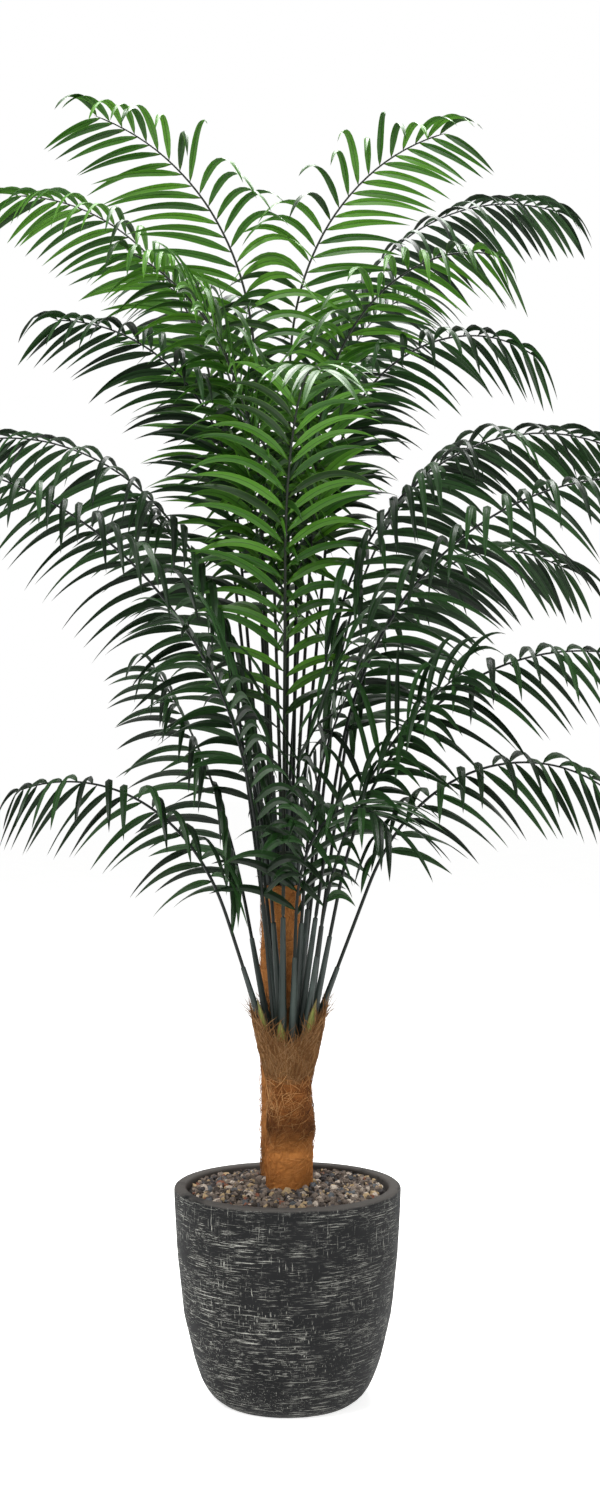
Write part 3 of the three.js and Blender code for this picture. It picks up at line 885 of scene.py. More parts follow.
@dataclass
class Trunk:
    """A trunk wrapped in coconut fibre, with loose strands over it.

    Args:
        node: The CAD node that it replaces.
        profile: Rows of radius and height in millimetres, from the gravel up.
        bulge: How far, in millimetres, it leans to +X at its bulge.
        bulge_height: Height of that bulge in millimetres.
        seed: Which random set.
        fibres: How many loose strands.
        lumps: Heights in metres of the wall's long and short ripples.
        strand: Smallest and largest length in millimetres of a loose strand.
        sides: Points round the wall.
        rows: Rings up the wall.
        low: The low corner of the CAD node's box, read from the frame.
        high: The high corner of that box.
    """

    node: str
    profile: list[tuple[float, float]]
    bulge: float
    bulge_height: float
    seed: int
    fibres: int = 1500
    lumps: tuple[float, float] = (0.8 * MM, 0.5 * MM)
    strand: tuple[float, float] = (18, 60)
    sides: int = 84
    rows: int = 130
    low: np.ndarray = field(init=False)
    high: np.ndarray = field(init=False)

    def __post_init__(self) -> None:
        """Read the trunk's place from the frame."""
        low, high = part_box(self.node)
        self.low, self.high = np.array(low), np.array(high)

    @property
    def centre(self) -> np.ndarray:
        """The middle of the trunk's top."""
        middle = (self.low + self.high) / 2
        return np.array([middle[0], middle[1], self.high[2]])

    def radius_at(self, height: np.ndarray) -> np.ndarray:
        """Radius in metres at a height in metres, straight between the profile's rows."""
        rows = np.array(self.profile) * MM
        return np.interp(height, rows[:, 1], rows[:, 0])

    def lean_at(self, height: np.ndarray) -> np.ndarray:
        """Sideways place of the middle: a bell curve round the bulge's height."""
        return self.bulge * MM * np.exp(-(((height - self.bulge_height * MM) / 0.045) ** 2))

    def wall(self) -> Surface:
        """The wrap: the profile turned about the trunk's axis, moved in and out by two ripples.

        Returns:
            The wall, with one even tone.
        """
        heights = np.linspace(self.profile[0][1], self.profile[-1][1], self.rows) * MM
        profile = np.stack([self.radius_at(heights), heights], -1)
        rings = revolve(profile, self.sides, self.centre[:2])
        outward = rings - np.array([*self.centre[:2], 0])
        outward[..., 2] = 0
        broad, fine = self.lumps
        lumps = broad * ripple(rings, 0.055, self.seed) + fine * ripple(rings, 0.012, self.seed + 1)
        rings = rings + unit(outward) * lumps[..., None]
        rings[..., 0] += self.lean_at(rings[..., 2])
        poles = np.array([[[*self.centre[:2], heights[0]], [*self.centre[:2], heights[-1]]]])
        return ring_bodies(rings, poles, {"strand": np.full(1, WALL_TONE)})

    def loose_fibres(self, rng: np.random.Generator) -> Surface:
        """Strands that follow the wall and lift off it in a low arch along their length.

        A strand's height above its middle is its distance along times the sine of its slope, and its
        turn round the trunk is that distance times the cosine of the slope over the radius.

        Args:
            rng: Source of the strands' places and slopes.

        Returns:
            The strands.
        """
        share = np.linspace(0, 1, 9)
        start = rng.uniform(0, 2 * math.pi, (self.fibres, 1))
        rise = rng.normal(0, 0.8, (self.fibres, 1)) + 0.5
        length = rng.uniform(*self.strand, (self.fibres, 1)) * MM
        foot = self.profile[0][1] * MM + 0.008
        top = self.profile[-1][1] * MM - 0.004
        middle = rng.uniform(foot, top, (self.fibres, 1))
        bend = rng.normal(0, 0.5, (self.fibres, 1))
        height = np.clip(middle + length * (share - 0.5) * np.sin(rise + bend * share), foot, top)
        radius = self.radius_at(height)
        turn = start + length * (share - 0.5) * np.cos(rise + bend * share) / radius
        lift = (0.3 + rng.uniform(0, 2.2, (self.fibres, 1)) ** 1.6 * np.sin(math.pi * share)) * MM
        out = radius + lift + 0.4 * MM
        paths = np.stack([self.centre[0] + self.lean_at(height) + out * np.cos(turn),
                          self.centre[1] + out * np.sin(turn), height], -1)
        return strands(paths, rng.uniform(0.25, 0.65, self.fibres) * MM, rng)

    def build(self, finish: CoirFinish) -> None:
        """Make the trunk's piece.

        Args:
            finish: What it is wrapped in.
        """
        rng = np.random.default_rng(self.seed)
        surface = join([self.wall(), self.loose_fibres(rng)])
        add_piece(f"{self.node}_wrap", surface, finish.build(), [self.node])


@dataclass
class FibreCollar:
    """The flared, ragged ring of fibre round the front trunk's top, and the leaf bases in it.

    Args:
        trunk: The trunk that it stands on.
        outer: Rows of radius and height in millimetres of its outer face, upwards.
        wall: Its thickness in millimetres.
        ragged: How far its top edge rises and falls, in millimetres.
        dip: How much lower its edge is at the front, in millimetres.
        fibres: How many strands lie over it; half as many stand out of its edge.
        clinging_length: Smallest and largest length in millimetres of a strand that lies over it.
        standing_length: The same for a strand that stands out of its edge.
        seed: Which random set.
        sides: Points round it.
    """

    trunk: Trunk
    outer: list[tuple[float, float]]
    wall: float = 2.4
    ragged: float = 9.0
    dip: float = 54.0
    fibres: int = 1300
    clinging_length: tuple[float, float] = (20, 62)
    standing_length: tuple[float, float] = (12, 44)
    seed: int = 31
    sides: int = 120

    def flare_at(self, height: np.ndarray) -> np.ndarray:
        """Radius in metres of the outer face at a height in metres, straight between its rows."""
        rows = np.array(self.outer) * MM
        return np.interp(height, rows[:, 1], rows[:, 0])

    def edge_height(self, turn: np.ndarray) -> np.ndarray:
        """Height in metres of the top edge.

        It is the highest point, less the dip times the square of how far to the front a heading is.

        Args:
            turn: Headings in radians.

        Returns:
            One height per heading.
        """
        return (self.outer[-1][1] - self.dip * np.clip(-np.sin(turn), 0, 1) ** 2) * MM

    def cup(self) -> Surface:
        """The ring as a cup: its outer face turned about the axis, over the edge and down inside.

        The edge rises and falls with a ripple and dips at the front, both fading to nothing at the foot;
        each point keeps to the flare of the height that it ends up at.

        Returns:
            The cup, with one even tone.
        """
        fine = ease_profile(self.outer, 5, 2)
        inner = fine[::-1] - [self.wall, 0]
        floor = [[20, self.outer[0][1] + 9]]
        profile = np.concatenate([[[20, self.outer[0][1]]], fine, inner[:-2], floor]) * MM
        centre = self.trunk.centre[:2]
        rings = revolve(profile, self.sides, centre)
        foot, top = self.outer[0][1] * MM, self.outer[-1][1] * MM
        share = smooth_step((rings[..., 2] - foot) / (top - foot))
        level = rings * [1, 1, 0]
        rough = ripple(level, 0.03, self.seed) + 0.7 * ripple(level, 0.008, self.seed + 1)
        front = np.clip((centre[1] - rings[..., 1]) / (self.outer[-1][0] * MM), 0, 1) ** 2
        height = rings[..., 2] + share * (rough * self.ragged * 0.7 - front * self.dip) * MM
        outward = unit((rings - [*centre, 0]) * [1, 1, 0])
        lumps = share * ripple(rings, 0.02, self.seed + 2) * 0.8 * MM
        moved = self.flare_at(height) - self.flare_at(rings[..., 2]) + lumps
        rings = rings + outward * moved[..., None]
        rings[..., 2] = height
        poles = np.array([[[*centre, profile[0, 1]], [*centre, profile[-1, 1]]]])
        return ring_bodies(rings, poles, {"strand": np.full(1, WALL_TONE)})

    def clinging(self, rng: np.random.Generator) -> Surface:
        """Strands that run up the cup, leaving it a little in the middle.

        Args:
            rng: Source of the strands' places and slopes.

        Returns:
            The strands.
        """
        share = np.linspace(0, 1, 9)
        count = self.fibres
        rows = np.array(self.outer) * MM
        start = rng.uniform(0, 2 * math.pi, (count, 1))
        low = rng.uniform(rows[0, 1], self.edge_height(start) - 0.012)
        length = rng.uniform(*self.clinging_length, (count, 1)) * MM
        slope = rng.normal(0, 0.55, (count, 1))
        height = low + length * share * np.cos(slope)
        radius = self.flare_at(height) + np.maximum(height - rows[-1, 1], 0) * 0.25
        turn = start + length * (share * np.sin(slope) + 0.3 * slope * share ** 2) / radius
        out = radius + (1.2 + rng.uniform(0, 1.7, (count, 1)) ** 1.7 * np.sin(math.pi * share)) * MM
        centre = self.trunk.centre
        paths = np.stack([centre[0] + out * np.cos(turn), centre[1] + out * np.sin(turn), height], -1)
        return strands(paths, rng.uniform(0.35, 0.85, count) * MM, rng)

    def standing(self, rng: np.random.Generator) -> Surface:
        """Strands that leave the edge upwards and outwards and curl over.

        Args:
            rng: Source of the strands' places and curls.

        Returns:
            The strands.
        """
        count = self.fibres // 2
        share = np.linspace(0, 1, 10)[None, :, None]
        turn = rng.uniform(0, 360, (count, 1))
        height = self.edge_height(np.radians(turn)) - rng.uniform(0.002, 0.022, (count, 1))
        root = np.concatenate([np.tile(self.trunk.centre[:2], (count, 1)), height], 1)[:, None]
        root = root + direction(90, turn) * (self.flare_at(height) - 0.001)[..., None]
        away = direction(rng.uniform(-15, 30, (count, 1)), turn + rng.normal(0, 40, (count, 1)))
        curl = direction(rng.uniform(30, 150, (count, 1)), turn + rng.normal(0, 80, (count, 1)))
        length = rng.uniform(*self.standing_length, (count, 1, 1)) * MM
        paths = root + length * (away * share + 0.45 * curl * share ** 2.2)
        return strands(paths, rng.uniform(0.3, 0.65, count) * MM, rng)

    def build(self, finish: CoirFinish) -> None:
        """Make the collar's piece.

        Args:
            finish: What it is made of.
        """
        rng = np.random.default_rng(self.seed)
        surface = join([self.cup(), self.clinging(rng), self.standing(rng)])
        add_piece("fibre_collar_wrap", surface, finish.build(), ["fibre_collar"])


@dataclass
class LeafBase:
    """A pointed dried leaf base that stands in the collar, cupped round the stems.

    Args:
        node: The CAD node that it replaces.
        heading: Degrees round the trunk.
        width: Width in millimetres.
        height: Height in millimetres.
        curl: Degrees by which its tip has leaned out beyond its foot.
        radius: Distance of its foot from the trunk's middle in millimetres.
        flare: Degrees by which its foot leans outwards.
        foot: Height of its foot in millimetres.
        thickness: Its thickness at the middle in millimetres.
        stations: Rings along it.
    """

    node: str
    heading: float
    width: float
    height: float
    curl: float
    radius: float = 47
    flare: float = 9
    foot: float = 597.6
    thickness: float = 1.6
    stations: int = 18

    def build(self, trunk: Trunk, material: bpy.types.Material) -> None:
        """Make the piece: a lens section, cupped inwards, carried up a line that leans further out.

        Args:
            trunk: The trunk that it stands on.
            material: Its finish.
        """
        share = np.linspace(0, 1, self.stations + 2)
        ways = direction(self.flare + self.curl * share ** 2, self.heading)
        out = direction(90, self.heading) * self.radius * MM
        middle = np.array([*trunk.centre[:2], self.foot * MM]) + out
        steps = ways[:-1] * (self.height * MM / (self.stations + 1))
        path = np.vstack([middle, middle + np.cumsum(steps, 0)])[None]
        inner = share[1:-1]
        half = self.width / 2 * MM * (0.75 + 0.25 * np.sin(math.pi * inner)) * (1 - inner ** 3.2)
        flats = np.broadcast_to(direction(90, self.heading + 90), (1, self.stations, 3))
        normals = np.cross(ways[None, 1:-1], flats)
        across = np.array([1, 0.5, 0, -0.5, -1, -0.5, 0, 0.5])
        cup = 0.42 * across ** 2
        thick = np.array([0, 1, 1, 1, 0, -1, -1, -1]) * self.thickness / 2 * MM
        raised = half[:, None] * cup + thick * np.sqrt(half[:, None] / half.max())
        section = np.stack([half[:, None] * across, raised], -1)
        surface = sweep(path, flats, normals, section[None])
        add_piece(f"{self.node}_leaf_base", surface, material, [self.node])


# ---- Fronds --------------------------------------------------------------------------------------


@dataclass(frozen=True)
class Frond:
    """One frond, by where it goes. Lengths are in millimetres and angles in degrees.

    Args:
        name: Which frond.
        trunk: Name of the trunk that it grows from.
        foot: x and y of its foot from the trunk's middle.
        heading: The way that it points.
        lean: Its first lean from upright.
        droop: The bend added by its tip.
        hold: The straight share of its length.
        length: From the trunk's top to the tip.
        blade: The length that carries leaflets.
        sleeve: The length of its stem sleeve, or 0 where its stalk stands bare in the trunk.
        twist: The turn of its blade about the stalk.
        tone: Its leaf colour.
        leaf: The length of its longest leaflets.
        sag: How strongly they hang.
        vee: How far the two rows rise above the blade's plane; a fall below it grows from foot to tip.
        spread: Degrees between the stalk and its first leaflets.
    """

    name: str
    trunk: str
    foot: tuple[float, float]
    heading: float
    lean: float
    droop: float
    hold: float
    length: float
    blade: float
    sleeve: float
    twist: float
    tone: Tone
    leaf: float = 190
    sag: float = 1.15
    vee: float = 38
    spread: float = 50

    @property
    def edgewise(self) -> bool:
        """Whether its blade stands on edge, so that one row is the upper one and falls over."""
        return abs(self.twist) - min(0, self.vee) >= 90


FRONDS = [
    Frond("crown_left", "rear", (-8, -2), 198, 2.5, 74, 0.62, 1505, 955, 200, 108, Tone.BRIGHT, 210, 0.65,
          vee=20, spread=60),
    Frond("crown_right", "rear", (8, 2), -25, 0.5, 84, 0.62, 1485, 945, 180, -108, Tone.BRIGHT, 205, 0.65,
          vee=20, spread=60),
    Frond("upper_left", "rear", (-23, 9), 170, 6.5, 81, 0.57, 1490, 800, 190, 105, Tone.BRIGHT, 190, 0.95),
    Frond("left_near", "rear", (-13, -22), 215, 2.5, 72, 0.56, 1230, 760, 160, 110, Tone.BRIGHT, 200),
    Frond("left_middle", "rear", (-23, -8), 195, 5, 90, 0.55, 1200, 720, 150, 110, Tone.DARK, 190, 0.9),
    Frond("left_inner", "front", (-8, 28), 160, 7, 44, 0.5, 1080, 640, 0, 105, Tone.DARK, 200),
    Frond("left_arch", "front", (-12, 5), 165, 7.5, 95, 0.44, 1450, 760, 270, 110, Tone.DARK, 200),
    Frond("left_long", "front", (-9, -16), 212, 5, 76, 0.2, 1270, 760, 240, 110, Tone.DARK, 205),
    Frond("left_low", "front", (-30, -4), 205, 19, 92, 0.33, 760, 440, 170, 110, Tone.DARK, 180),
    Frond("left_behind", "front", (-28, 23), 145, 13, 28, 0.3, 760, 480, 210, 100, Tone.DARK),
    Frond("front_tall", "front", (-11, -35), -80, 2, 115, 0.62, 1390, 800, 250, 0, Tone.BRIGHT, 205, 1.1, 20),
    Frond("inner_left", "rear", (4, -25), 235, 3, 52, 0.45, 1110, 700, 150, 60, Tone.BRIGHT, 200, 1.1, 24),
    Frond("right_upper", "rear", (19, 16), 28, 1, 98, 0.41, 1660, 820, 170, -110, Tone.DARK),
    Frond("right_bright", "rear", (19, -16), -35, 4, 110, 0.57, 1355, 760, 160, -115, Tone.BRIGHT, 195, 0.8),
    Frond("right_middle", "rear", (25, 0), -20, 5.5, 125, 0.56, 1260, 680, 180, -105, Tone.DARK),
    Frond("right_behind", "front", (10, 33), 25, 7, 46, 0.5, 1200, 640, 0, -105, Tone.DARK, 200),
    Frond("right_arch", "front", (9, 16), 12, 5.5, 114, 0.44, 1520, 760, 260, -110, Tone.DARK, 200),
    Frond("right_long", "front", (12, -3), -25, 9, 88, 0.36, 1320, 760, 250, -110, Tone.DARK, 205),
    Frond("right_shoulder", "front", (28, 23), 32, 9, 106, 0.42, 1270, 700, 230, -105, Tone.DARK, 200, 0.85),
    Frond("right_low", "front", (30, -11), -22, 12, 98, 0.28, 1070, 640, 220, -110, Tone.DARK),
    Frond("right_lowest", "front", (27, 7), -12, 21, 128, 0.34, 930, 560, 170, -105, Tone.DARK, 180),
    Frond("front_right", "front", (6, -18), -44, 5.5, 36, 0.45, 720, 440, 240, -40, Tone.DARK, vee=24),
    Frond("front_left", "front", (-22, -27), -125, 8, 45, 0.4, 820, 540, 0, 35, Tone.DARK, 190, vee=24),
    Frond("front_low", "front", (5.5, -36), -55, 3, 127, 0.38, 640, 400, 180, 0, Tone.DARK, 205, 1.15, 20),
    Frond("right_inner", "front", (23, -28), -35, 10, 50, 0.25, 780, 520, 185, -70, Tone.DARK, vee=28),
    Frond("back_left", "rear", (-13, 22), 125, 5, 66, 0.45, 1360, 740, 170, 40, Tone.DARK, vee=24),
    Frond("back_right", "rear", (4, 25), 55, 6, 70, 0.45, 1360, 740, 190, -40, Tone.DARK, vee=24),
]


@dataclass
class StalkLine:
    """A frond's centre line, straight at first and then bending over in one upright plane.

    Args:
        frond: Which frond.
        start: The point where it leaves the trunk's top, in metres.
        curl: How late its droop comes, as a power of the bent share of its length.
        steps: How many straight steps it is added up from.
        points: The ends of those steps, worked out from the rest.
    """

    frond: Frond
    start: np.ndarray
    curl: float = 1.3
    steps: int = 60
    points: np.ndarray = field(init=False)

    def __post_init__(self) -> None:
        """Add up short steps, each along the line's direction half way through it."""
        middles = (np.arange(self.steps) + 0.5) / self.steps
        steps = self.along(middles) * (self.frond.length * MM / self.steps)
        self.points = np.vstack([self.start, self.start + np.cumsum(steps, 0)])

    def lean_at(self, share: np.ndarray) -> np.ndarray:
        """The first lean plus the droop times the bent share of the length to the power of the curl.

        Args:
            share: Shares of the length.

        Returns:
            Degrees away from upright.
        """
        f = self.frond
        bent = np.maximum(0, (share - f.hold) / (1 - f.hold)) ** self.curl
        return f.lean + f.droop * bent

    def along(self, share: np.ndarray) -> np.ndarray:
        """The direction along the stalk at a share of its length."""
        return direction(self.lean_at(share), self.frond.heading)

    def point(self, share: np.ndarray) -> np.ndarray:
        """The point at a share of the length, straight between the line's own points."""
        places = np.linspace(0, 1, self.steps + 1)
        return np.stack([np.interp(share, places, self.points[:, axis]) for axis in range(3)], -1)

    def sides(self, share: np.ndarray) -> tuple[np.ndarray, np.ndarray]:
        """The blade's side and face, turned about the stalk by the frond's twist.

        Args:
            share: Shares of the length.

        Returns:
            The side, and the face at right angles to it and to the stalk.
        """
        up = direction(self.lean_at(share) - 90, self.frond.heading)
        across = np.cross(self.along(share), up)
        twist = math.radians(self.frond.twist)
        side = across * math.cos(twist) + up * math.sin(twist)
        return side, up * math.cos(twist) - across * math.sin(twist)


@dataclass(frozen=True)
class Play:
    """How much the leaflets of one frond differ.

    Args:
        spread: Scatter in degrees of the angle between stalk and leaflet.
        rise: Scatter in degrees of a leaflet's rise above the blade.
        roll: Scatter in degrees of its turn about its own midrib, at its tip.
        fold: Scatter in degrees of its fold.
        length: Smallest and largest share of the usual length.
        sag: Smallest and largest share of the usual sag.
    """

    spread: float = 3
    rise: float = 5
    roll: float = 16
    fold: float = 6
    length: tuple[float, float] = (0.93, 1.06)
    sag: tuple[float, float] = (0.75, 1.25)


@dataclass
class Places:
    """Where the leaflets of one frond stand, one entry for each leaflet.

    Args:
        row: -1 or 1 for the two rows.
        up: How far up the blade it stands, from 0 to 1.
        share: The same place as a share of the frond's length.
        hangs: Whether it is in the upper row of a blade that stands on edge.
    """

    row: np.ndarray
    up: np.ndarray
    share: np.ndarray
    hangs: np.ndarray


@dataclass
class FrondBuilder:
    """Makes the fronds: stem sleeve, stalk and leaflets.

    Args:
        spacing: Mean distance between leaflets along one side, in millimetres.
        width: Width of the widest leaflets in millimetres.
        thickness: Thickness of a leaflet at its midrib in millimetres.
        narrowing: Share of the width lost at the blade's tip.
        tip_loss: Share of the length lost at the blade's tip.
        foot_loss: Share of the length lost at the blade's foot.
        flattening: Share of a rise above the blade lost at the blade's tip.
        close: Share by which the angle between stalk and leaflets has closed at the blade's tip.
        fold: Degrees by which each half of a leaflet rises from its midrib.
        lay: Degrees by which leaflets that do not hang lie over towards the stalk's foot.
        hang_spread: The spread of the row on the upper side of a blade that stands on edge.
        hang_sag: How many times more strongly that row hangs.
        arch: How late along a leaflet its hang shows, as a power of its length.
        crowding: How much closer the leaflets stand at the blade's tip than in its middle.
        stalk_foot: Radius of the stalk at the trunk in millimetres.
        stalk_loss: How much of that it loses by its tip.
        overlap: How far the stalk reaches down into its sleeve, in millimetres.
        stations: Rings along a leaflet.
        play: How much the leaflets differ.
    """

    spacing: float = 29
    width: float = 17
    thickness: float = 0.6
    narrowing: float = 0.22
    tip_loss: float = 0.4
    foot_loss: float = 0.25
    flattening: float = 0.25
    close: float = 0.45
    fold: float = 20
    lay: float = 30
    hang_spread: float = 70
    hang_sag: float = 2.6
    arch: float = 1.1
    crowding: float = 0.18
    stalk_foot: float = 3.4
    stalk_loss: float = 2.1
    overlap: float = 12
    stations: int = 12
    play: Play = Play()

    @property
    def inner(self) -> np.ndarray:
        """The shares of a leaflet's length at which its rings stand."""
        return np.arange(1, self.stations + 1) / (self.stations + 1)

    def places(self, frond: Frond) -> Places:
        """Set the leaflets along the blade, the two rows in turn and closer together towards its tip.

        Args:
            frond: Which frond.

        Returns:
            Their places.
        """
        pairs = round(frond.blade / self.spacing)
        even = np.concatenate([(np.arange(pairs) + 0.35) / pairs, (np.arange(pairs) + 0.65) / pairs])
        row = np.repeat([-1.0, 1.0], pairs)
        up = even * (1 + self.crowding - self.crowding * even)
        share = 1 - frond.blade / frond.length * (1 - up)
        return Places(row, up, share, (row * frond.twist > 0) & frond.edgewise)

    def first_ways(self, line: StalkLine, places: Places, rng: np.random.Generator) -> np.ndarray:
        """Give the directions in which the leaflets leave the stalk.

        Each sets out at the spread angle from the stalk, which closes with the square of how far up the
        blade it stands, in a plane that rises above the blade's side by the vee.

        Args:
            line: The frond's centre line.
            places: Where the leaflets stand.
            rng: Source of the small differences between leaflets.

        Returns:
            One unit vector per leaflet.
        """
        frond, up, count = line.frond, places.up, len(places.up)
        base = np.where(places.hangs, self.hang_spread, frond.spread)
        spread = base * (1 - self.close * up ** 2) + rng.normal(0, self.play.spread, count)
        vee = frond.vee * np.where(frond.vee > 0, 1 - self.flattening * up, up)
        rise = np.radians(vee + rng.normal(0, self.play.rise, count))[:, None]
        spread = np.radians(spread)[:, None]
        side, face = line.sides(places.share)
        out = side * places.row[:, None] * np.cos(rise) + face * np.sin(rise)
        return line.along(places.share) * np.cos(spread) + out * np.sin(spread)

    def midribs(self, line: StalkLine, places: Places, start: np.ndarray,
                rng: np.random.Generator) -> np.ndarray:
        """Lay out the leaflets' midribs.

        A midrib's direction sinks by the sag times the share of its length to the power arch.

        Args:
            line: The frond's centre line.
            places: Where the leaflets stand.
            start: The directions in which they leave the stalk.
            rng: Source of the small differences between leaflets.

        Returns:
            Points from root to tip, of shape (leaflets, stations + 2, 3).
        """
        frond, up, count = line.frond, places.up, len(places.up)
        size = (1 - self.tip_loss * up ** 3) * (1 - self.foot_loss * (1 - up) ** 6)
        length = frond.leaf * MM * size * rng.uniform(*self.play.length, count)
        heavier = np.where(places.hangs & (frond.vee > 0), self.hang_sag, 1)
        sag = frond.sag * heavier * rng.uniform(*self.play.sag, count)
        steps = self.stations + 1
        middles = (np.arange(steps) + 0.5) / steps
        ways = unit(start[:, None] - sag[:, None, None] * middles[:, None] ** self.arch * UP)
        root = line.point(places.share)[:, None]
        return np.concatenate([root, root + np.cumsum(ways * (length / steps)[:, None, None], 1)], 1)

    def turned(self, line: StalkLine, places: Places, start: np.ndarray, tangents: np.ndarray,
               rng: np.random.Generator) -> tuple[np.ndarray, np.ndarray]:
        """Give the leaflets' sideways and upward directions, which roll about the midrib towards the tip.

        Args:
            line: The frond's centre line.
            places: Where the leaflets stand.
            start: The directions in which they leave the stalk.
            tangents: The directions along their midribs.
            rng: Source of the small differences between leaflets.

        Returns:
            The flat and the normal direction at each ring.
        """
        face = line.sides(places.share)[1]
        flats = unit(np.cross(face, start))[:, None] + np.zeros_like(tangents)
        normals = unit(np.cross(tangents, flats))
        flats = np.cross(normals, tangents)
        lay = np.where(line.frond.edgewise & ~places.hangs, places.row * self.lay, 0)
        roll = np.radians(rng.normal(0, self.play.roll, len(lay)) + lay)[:, None, None] * self.inner[:, None]
        sideways = flats * np.cos(roll) + normals * np.sin(roll)
        return sideways, normals * np.cos(roll) - flats * np.sin(roll)

    def sections(self, places: Places, rng: np.random.Generator) -> np.ndarray:
        """Give the leaflets' sections: a thin V that is widest in the first half and drawn to a point.

        The half width eases from two fifths at the root to the whole at 0.28 of the length, times one
        less the share of the length to the power 3.2.

        Args:
            places: Where the leaflets stand.
            rng: Source of the small differences between leaflets.

        Returns:
            Four offsets at each ring: one edge, the top of the midrib, the other edge, its underside.
        """
        outline = (0.4 + 0.6 * smooth_step(self.inner / 0.28)) * (1 - self.inner ** 3.2)
        half = self.width / 2 * MM * (1 - self.narrowing * places.up)[:, None] * outline
        fold = np.radians(self.fold + rng.normal(0, self.play.fold, len(half)))[:, None]
        wide, high = half * np.cos(fold), half * np.sin(fold)
        zero, thin = np.zeros_like(half), np.full_like(half, self.thickness / 2 * MM)
        sideways = np.stack([wide, zero, -wide, zero], -1)
        return np.stack([sideways, np.stack([high, thin, high, -thin], -1)], -1)

    def leaflets(self, line: StalkLine, rng: np.random.Generator) -> Surface:
        """All leaflets of one frond.

        Args:
            line: The frond's centre line.
            rng: Source of the small differences between leaflets.

        Returns:
            The leaflets, with a tone each in the layer named shade.
        """
        places = self.places(line.frond)
        start = self.first_ways(line, places, rng)
        paths = self.midribs(line, places, start, rng)
        tangents = unit(np.gradient(paths, axis=1))[:, 1:-1]
        flats, normals = self.turned(line, places, start, tangents, rng)
        section = self.sections(places, rng)
        count = len(paths)
        surface = sweep(paths, flats, normals, section, {"shade": rng.uniform(0, 1, count)})
        across = np.r_[0.5, np.tile([1.0, 0.5, 0.0, 0.5], self.stations), 0.5]
        along = np.r_[0, np.repeat(self.inner, 4), 1]
        surface.strip = np.tile(np.stack([across, along], -1), (count, 1))
        return surface

    def stalk(self, line: StalkLine, sides: int = 8) -> Surface:
        """The stalk: a round section that narrows from foot to tip, carried along the centre line.

        Args:
            line: The frond's centre line.
            sides: Points round it.

        Returns:
            The stalk, marked in the layer named stalk.
        """
        frond = line.frond
        share = np.linspace(max(0, frond.sleeve - self.overlap) / frond.length, 1, 64)
        side, face = line.sides(share[1:-1])
        half = (self.stalk_foot - self.stalk_loss * share[1:-1] ** 1.5) * MM
        section = half[:, None, None] * round_section(sides)
        return sweep(line.point(share)[None], face[None], side[None], section[None], {"stalk": np.ones(1)})

    def sleeve(self, line: StalkLine, sides: int = 14) -> Surface:
        """The stem sleeve: a straight tube with a rounded shoulder where the thinner stalk leaves it.

        Args:
            line: The frond's centre line.
            sides: Points round it.

        Returns:
            The sleeve.
        """
        top = line.frond.sleeve
        places_and_radii = [
            (-10, 0), (-9.9, 6.4), (0, 7.0), (top * 0.35, 7.0), (top * 0.36, 6.5), (top * 0.7, 5.4),
            (top - 8, 4.5), (top - 2, 4.4), (top - 0.6, 4.0), (top, 3.5), (top + 1, 0)]
        rows = np.array(places_and_radii) * MM
        path = line.start + rows[:, :1] * line.along(np.zeros(1))[0]
        side, face = line.sides(np.zeros(len(rows) - 2))
        section = rows[1:-1, 1, None, None] * round_section(sides)
        return sweep(path[None], face[None], side[None], section[None])

    def build(self, frond: Frond, trunk: Trunk, seed: int, leaf: bpy.types.Material,
              sleeve: bpy.types.Material) -> None:
        """Make one frond's two pieces.

        Args:
            frond: Which frond.
            trunk: The trunk that it grows from.
            seed: Which random set.
            leaf: Finish of its leaflets and stalk.
            sleeve: Finish of its sleeve.
        """
        rng = np.random.default_rng(seed)
        line = StalkLine(frond, trunk.centre + np.array([*frond.foot, 0]) * MM)
        blade = join([self.stalk(line), self.leaflets(line, rng)])
        node = f"frond_{frond.name}"
        add_piece(f"{node}_blade", blade, leaf, [node], Shading.RIDGED)
        if frond.sleeve > 0:
            node = f"stem_{frond.name}"
            add_piece(f"{node}_sleeve", self.sleeve(line), sleeve, [node])


# ---- Pot and gravel ------------------------------------------------------------------------------


